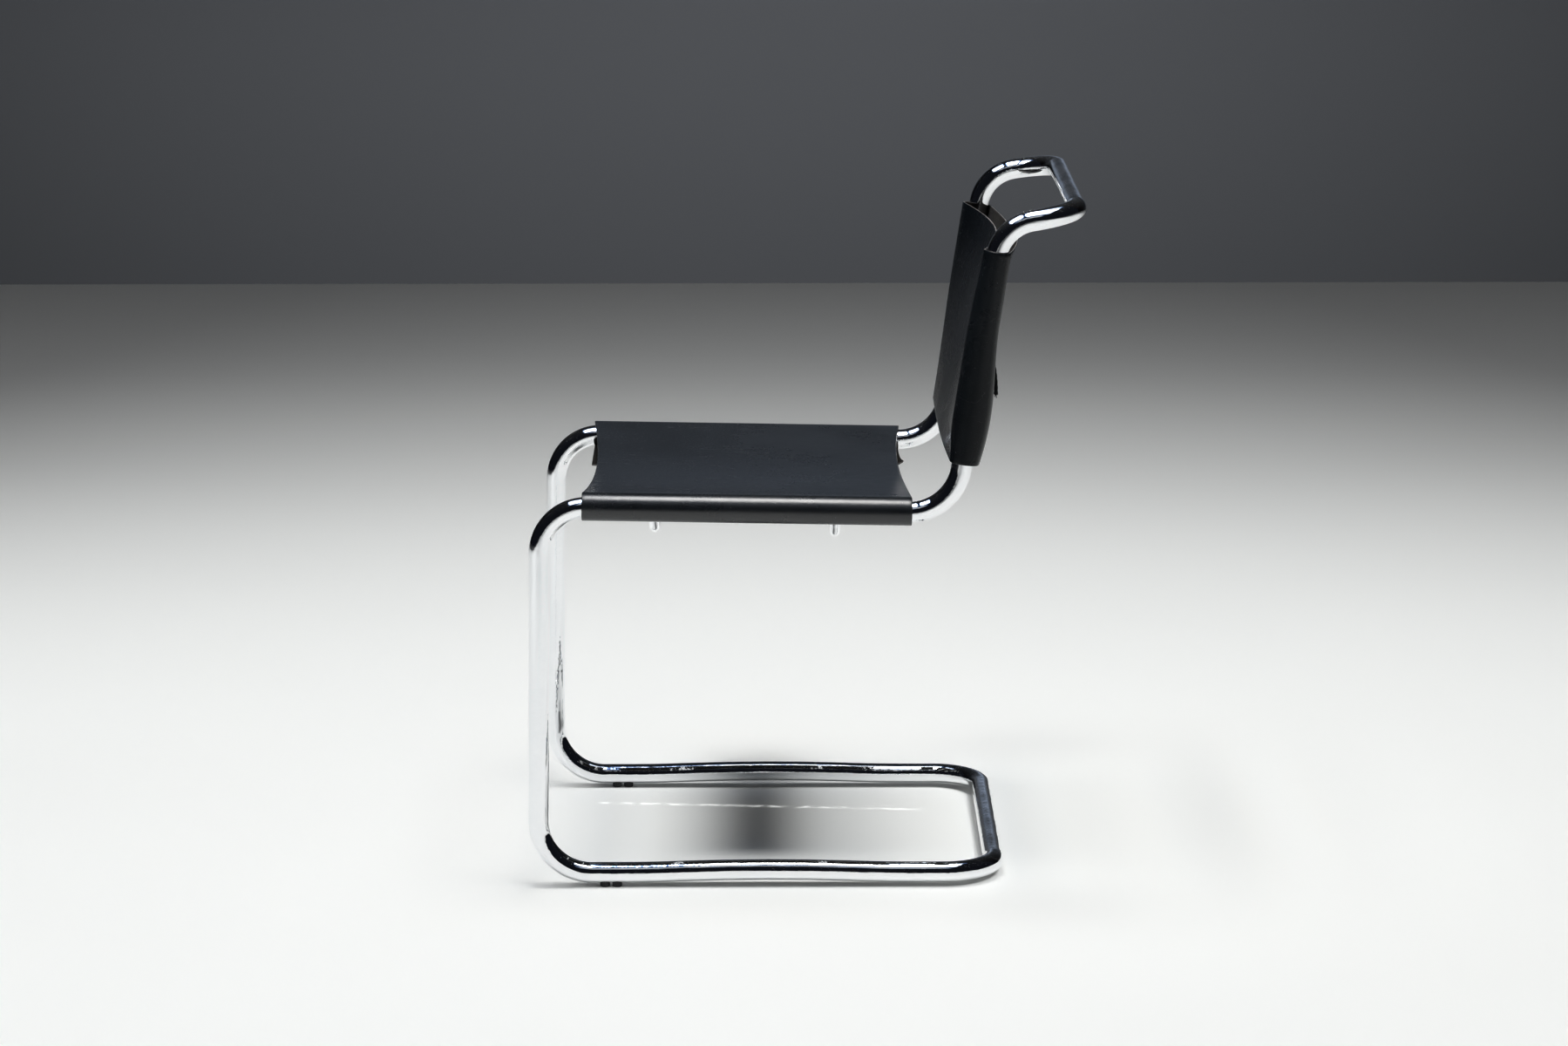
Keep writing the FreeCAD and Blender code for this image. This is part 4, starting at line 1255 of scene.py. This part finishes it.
# ------------------------------------------------------------------ stage
WALL_PLACE = -4.4                # the backdrop's distance behind the chair
WALL_HALF, WALL_HEIGHT = 12, 9
FLOOR_HALF = 20.0
FLOOR_PAINT = (0.885, 0.887, 0.865, 1)
FLOOR_WORN = (0.8, 0.8, 0.79, 1)
BLACK = (0, 0, 0, 1)


def flat_panel(name, corners, material):
    """A floor or backdrop of one face."""
    mesh = bpy.data.meshes.new(name)
    mesh.from_pydata(corners, [], [(0, 1, 2, 3)])
    mesh.materials.append(material)
    panel = bpy.data.objects.new(name, mesh)
    bpy.context.scene.collection.objects.link(panel)


def ramp(share, stops):
    """A colour ramp through grey stops, each a position and a value."""
    made = add_node("ShaderNodeValToRGB", Fac=share)
    line = made.node.color_ramp
    line.interpolation = "B_SPLINE"
    for place, _ in stops[1:-1]:
        line.elements.new(place)
    for element, (place, value) in zip(line.elements, stops):
        element.position = place
        element.color = (value, value, value, 1)
    return made["Color"]


def seen_only(colour):
    """A colour for camera, glossy and transmission rays alone, black for the rest."""
    rays = add_node("ShaderNodeLightPath", tree=colour.tree)
    seen = maths("MAXIMUM", rays["Is Camera Ray"], rays["Is Glossy Ray"])
    return blended(maths("MAXIMUM", seen, rays["Is Transmission Ray"]), BLACK, colour)


# The floor's kept paleness by the distance ahead of the chair (5 m behind it is 0,
# 5 m ahead is 1), and how it changes with the square of the distance to the side.
FLOOR_AHEAD = (-5.0, 5.0)
FLOOR_KEPT = [(0.0, 0.0), (0.07, 0.012), (0.12, 0.026), (0.17, 0.052), (0.22, 0.144),
              (0.27, 0.220), (0.32, 0.325), (0.37, 0.332), (0.42, 0.270), (0.47, 0.192),
              (0.52, 0.160), (0.57, 0.140), (0.62, 0.235), (0.68, 0.30), (0.75, 0.25),
              (0.83, 0.13), (0.95, 0.03)]
SIDE_ZERO = 0.1                  # this value stands for no change to the side
SIDE_MOST = 3.4                  # the square of the distance aside counts up to this
SIDE_END = (-4.2, -2.6, 2.6, 4.2)    # and the paleness ends between these
FLOOR_SIDES = [(0.0, 0.097), (0.15, 0.082), (0.25, 0.043), (0.35, 0.072), (0.43, 0.176),
               (0.5, 0.149), (0.56, 0.208)]
# Painted light: in the chair's half-shade the floor is filled in with a patch of
# this paleness, which rises and falls between these distances ahead and to the
# side, so that it still looks nearly white. Straight below the seat, bands of
# painted shadow take paleness away again, over a shorter stretch.
HALF_SHADE_FILL = 0.4023
HALF_SHADE_FILL_AHEAD = (-0.478, -0.260, 0.142, 0.370)
HALF_SHADE_FILL_SIDE = (-0.453, -0.179, 0.050, 0.6135)
SEAT_SHADOW_BANDS = ((0.521, -0.062, 0.0732), (0.133, 0.096, 0.1234))    # depth, middle, half-width
SEAT_SHADOW_AHEAD = (-0.479, -0.260, 0.054, 0.150)
# Painted light: a patch of paleness over the back's shadow on the floor behind the chair.
BACK_SHADOW_FILL = (0.0636, -0.072, 0.461, 0.5, 0.4225)    # paleness, place ahead and aside, widths
# Painted contact shadow: right under the base tube the floor loses most of its kept
# paleness, in a strip by the distance out from the tube's line, a rounded rectangle
# that is open ahead.
BASE_REACH = 0.4335              # from the strip's middle back to its rear line
BASE_MIDDLE = (-0.006, floor_rear[1] - 0.005 - BASE_REACH, 0.0)
BASE_HALF = (HALF_WIDTH - REAR_FLOOR_BEND, BASE_REACH - REAR_FLOOR_BEND, 1.0)
BASE_SHADE = (-0.017, -0.009, 0.008, 0.014)
BASE_SHADE_SIDE = (-0.320, -0.255, 0.30, 0.32)
# Painted light: a thin broken line of it on the floor inside the far runner, for the light that
# the runner throws there.
STREAK_PALENESS = 0.60
STREAK_AHEAD, STREAK_HALF = -0.1235, 0.0042      # its place and half its width
STREAK_SLANT = 0.083             # ahead for each metre aside
STREAK_WAVE = 0.006
STREAK_BREAKS = (0.40, 0.62)     # a noise breaks it below the first, and not past the second
STREAK_SIDE = (-0.27, -0.25, 0.13, 0.17)


def bell(value, middle, width):
    """One at the middle, falling off by the square of the distance over the width."""
    away = (value - middle) / width
    return maths("EXPONENT", away * away * -1.0)


def plateau(value, rise, top, fall, end):
    """Smoothly up from 0 to 1 between the first two values, and down at the others."""
    up, down = (add_node("ShaderNodeMapRange", {"interpolation_type": "SMOOTHSTEP"}, Value=value,
                         From_Min=low, From_Max=high)[0]
                for low, high in ((rise, top), (end, fall)))
    return up * down


def floor_material():
    """Pale painted floor. Where less light falls on it, its own paleness is kept up
    for the eye and for reflections alone. Over that it carries painted shadow
    below the seat and under the base tube, and painted light in the chair's
    half-shade, over the back's shadow and in a line inside the far runner."""
    finish = Finish("pale_floor")
    place = finish.place
    uneven = finish.mottle(2.0)
    split = axes(place)
    ahead, aside = split["X"], split["Y"]
    share = ranged(ahead, *FLOOR_AHEAD)
    squared = maths("MINIMUM", aside * aside, SIDE_MOST)
    kept = ramp(share, FLOOR_KEPT) + squared * (ramp(share, FLOOR_SIDES) - SIDE_ZERO)
    kept = kept * plateau(aside, *SIDE_END)
    # Painted light that fills in the chair's half-shade.
    kept = kept + plateau(aside, *HALF_SHADE_FILL_SIDE) * HALF_SHADE_FILL * plateau(ahead, *HALF_SHADE_FILL_AHEAD)
    # Painted shadow of the seat: bands straight below it lose paleness.
    shorter = plateau(ahead, *SEAT_SHADOW_AHEAD)
    for depth, middle, width in SEAT_SHADOW_BANDS:
        kept = kept - bell(aside, middle, width) * depth * shorter
    # Painted light over the back's shadow.
    paleness, rear, right, length, width = BACK_SHADOW_FILL
    kept = kept + bell(ahead, rear, length) * bell(aside, right, width) * paleness
    # Painted light: the thin wavy line inside the far runner.
    wave = add_node("ShaderNodeTexNoise", {"noise_dimensions": "1D"}, W=aside, Scale=26.0)["Fac"]
    wavy = ahead - aside * STREAK_SLANT + wave * STREAK_WAVE
    streak = (bell(wavy, STREAK_AHEAD, STREAK_HALF)
              * ranged(noise(place, 60.0, Detail=3.0), *STREAK_BREAKS, 0.0, STREAK_PALENESS))
    kept = kept + streak * plateau(aside, *STREAK_SIDE)
    # Painted contact shadow under the base tube.
    offset = vector_maths("ABSOLUTE", vector_maths("SUBTRACT", place, BASE_MIDDLE)[0])[0]
    beyond = vector_maths("MAXIMUM", vector_maths("SUBTRACT", offset, BASE_HALF)[0], (0, 0, 0))[0]
    outward = vector_maths("LENGTH", beyond)["Value"] - REAR_FLOOR_BEND
    under = plateau(outward, *BASE_SHADE) * plateau(aside, *BASE_SHADE_SIDE)
    kept = maths("MAXIMUM", kept * (1.0 - under), 0.0)
    return finish.set(
        Emission_Color=seen_only(blended(kept, BLACK, (0.98, 1.0, 0.98, 1))),
        Emission_Strength=1.0, Roughness=ranged(uneven, 0.0, 1.0, 0.55, 0.7),
        Base_Color=blended(uneven * 0.04, FLOOR_PAINT, FLOOR_WORN), Specular_IOR_Level=0.2)


# The backdrop's paleness by the share of its height, and a glow on it, as its
# paleness, its height and spread, and its place to the side and spread.
WALL_KEPT = [(0.0, 0.046), (0.06, 0.073), (0.105, 0.048), (0.150, 0.020), (0.195, 0.010),
             (0.3, 0.006), (0.6, 0.004), (1.0, 0.002)]
WALL_GLOW = (0.30, 1.02, 0.19, 0.40, 0.75)
WALL_SPREAD = 2.35               # its paleness falls off to the sides over this
WALL_BLUE = (0.6, 1.0)           # and turns bluer between these heights


def wall_material():
    """Dark blue-grey backdrop, palest a little above the floor, seen from its front
    only."""
    finish = Finish("dark_backdrop")
    uneven = finish.mottle(0.6)
    split = axes(finish.place)
    aside, height = split["Y"], split["Z"]
    across = aside * (1 / WALL_SPREAD)
    fall = maths("EXPONENT", across * across * -1.0)
    paleness, middle, tall, side, wide = WALL_GLOW
    glow = bell(height, middle, tall) * bell(aside, side, wide)
    level = ramp(height / WALL_HEIGHT, WALL_KEPT) + glow * paleness
    blue = blended(ranged(height, *WALL_BLUE), (0.95, 1.0, 1.1, 1), (0.82, 1.0, 1.32, 1))
    lit = vector_maths("MULTIPLY", level, blended(fall, BLACK, blue))[0]
    finish.set(Emission_Color=seen_only(lit), Emission_Strength=1.0, Roughness=0.9,
               Base_Color=blended(uneven, (0.050, 0.053, 0.056, 1), (0.056, 0.059, 0.062, 1)))
    behind = add_node("ShaderNodeNewGeometry", tree=finish.tree)["Backfacing"]
    clear = add_node("ShaderNodeBsdfTransparent", tree=finish.tree)[0]
    front = Outputs(finish.shader)[0]
    mix = add_node("ShaderNodeMixShader", None, {0: behind, 1: front, 2: clear})
    give(finish.tree.nodes["Material Output"].inputs["Surface"], mix[0])
    return finish.material


flat_panel("studio_floor", [(-FLOOR_HALF, -FLOOR_HALF, 0), (FLOOR_HALF, -FLOOR_HALF, 0),
                            (FLOOR_HALF, FLOOR_HALF, 0), (-FLOOR_HALF, FLOOR_HALF, 0)],
           floor_material())
flat_panel("studio_wall", [(WALL_PLACE, -WALL_HALF, 0), (WALL_PLACE, WALL_HALF, 0),
                           (WALL_PLACE, WALL_HALF, WALL_HEIGHT),
                           (WALL_PLACE, -WALL_HALF, WALL_HEIGHT)], wall_material())


LAMP_HEIGHT = 3.0
LAMP_CORE = (0.25, -0.15, LAMP_HEIGHT)   # the overhead softboxes are brightest round here
CORE_REACH = (0.45, 0.80)        # all bright inside the first, at its rim's level past the second
RIM_LEVEL = 0.14                 # of the core's
EDGE_FALL = (1.7, 1.4, 1.0)      # towards its edge the red goes first and the blue last
LAMP_TINT = (1.0, 0.985, 0.96)


def soft_lamp(name, place, size, radiance, fade):
    """A rectangular softbox that faces straight down.

    Its face is brightest at the core, and turns blue and fades out over a width
    of its own along each side.
    """
    lamp = bpy.data.lights.new(name, "AREA")
    lamp.shape = "RECTANGLE"
    lamp.size, lamp.size_y = size
    lamp.energy = radiance * math.pi * size[0] * size[1]
    lamp.use_nodes = True
    spot = add_node("ShaderNodeNewGeometry", tree=lamp.node_tree)["Position"]
    split = axes(spot)
    glow = 1.0
    for axis, middle, side, width in zip("XY", place, size, fade):
        glow = glow * ranged(abs(split[axis] - middle), side / 2, side / 2 - width)
    reach = vector_maths("DISTANCE", spot, LAMP_CORE)["Value"]
    red, green, blue = (maths("POWER", glow, power) * part
                        for power, part in zip(EDGE_FALL, LAMP_TINT))
    colour = add_node("ShaderNodeCombineColor", Red=red, Green=green, Blue=blue)[0]
    give_all(lamp.node_tree.nodes["Emission"],
             {"Strength": ranged(reach, *CORE_REACH, 1.0, RIM_LEVEL), "Color": colour})
    holder = bpy.data.objects.new(name, lamp)
    bpy.context.scene.collection.objects.link(holder)
    holder.location = place
    holder.visible_camera = False


soft_lamp("rear_overhead_softbox", (0.35, 0.42, LAMP_HEIGHT), (2.6, 1.62),
          radiance=20.3, fade=(0.6, 0.12))
soft_lamp("front_overhead_softbox", (0.35, -1.00, LAMP_HEIGHT), (2.6, 0.94),
          radiance=20.3, fade=(0.6, 0.12))
soft_lamp("forward_softbox", (2.35, -0.1, LAMP_HEIGHT), (1.4, 2.4),
          radiance=3.7, fade=(0.6, 0.5))

world = bpy.data.worlds.new("dim_studio")
bpy.context.scene.world = world
world.use_nodes = True
give_all(world.node_tree.nodes["Background"], {"Color": (0.75, 0.85, 1.2, 1), "Strength": 0.006})

# ------------------------------------------------------------------ camera
CAMERA_PLACE = (5.57488, -0.03646, 1.58965)
CAMERA_YAW = math.radians(-0.130)
CAMERA_PITCH = math.radians(12.043)
CAMERA_ROLL = math.radians(-0.077)

camera_data = bpy.data.cameras.new("camera")
camera_data.sensor_width = 36.0
camera_data.lens = 105.48
camera = bpy.data.objects.new("camera", camera_data)
bpy.context.scene.collection.objects.link(camera)
level = np.array([-math.cos(CAMERA_YAW), -math.sin(CAMERA_YAW), 0])
side = np.array([-math.sin(CAMERA_YAW), math.cos(CAMERA_YAW), 0])
plumb = np.array([0, 0, 1.0])
forward = level * math.cos(CAMERA_PITCH) - plumb * math.sin(CAMERA_PITCH)
upward = plumb * math.cos(CAMERA_PITCH) + level * math.sin(CAMERA_PITCH)
rightward = side * math.cos(CAMERA_ROLL) + upward * math.sin(CAMERA_ROLL)
upward = upward * math.cos(CAMERA_ROLL) - side * math.sin(CAMERA_ROLL)
camera.matrix_world = Matrix([[*row, place] for row, place in
                                 zip(np.stack([rightward, upward, -forward], 1), CAMERA_PLACE)]
                                + [[0, 0, 0, 1]])
bpy.context.scene.camera = camera
bpy.context.scene.view_settings.view_transform = "Standard"
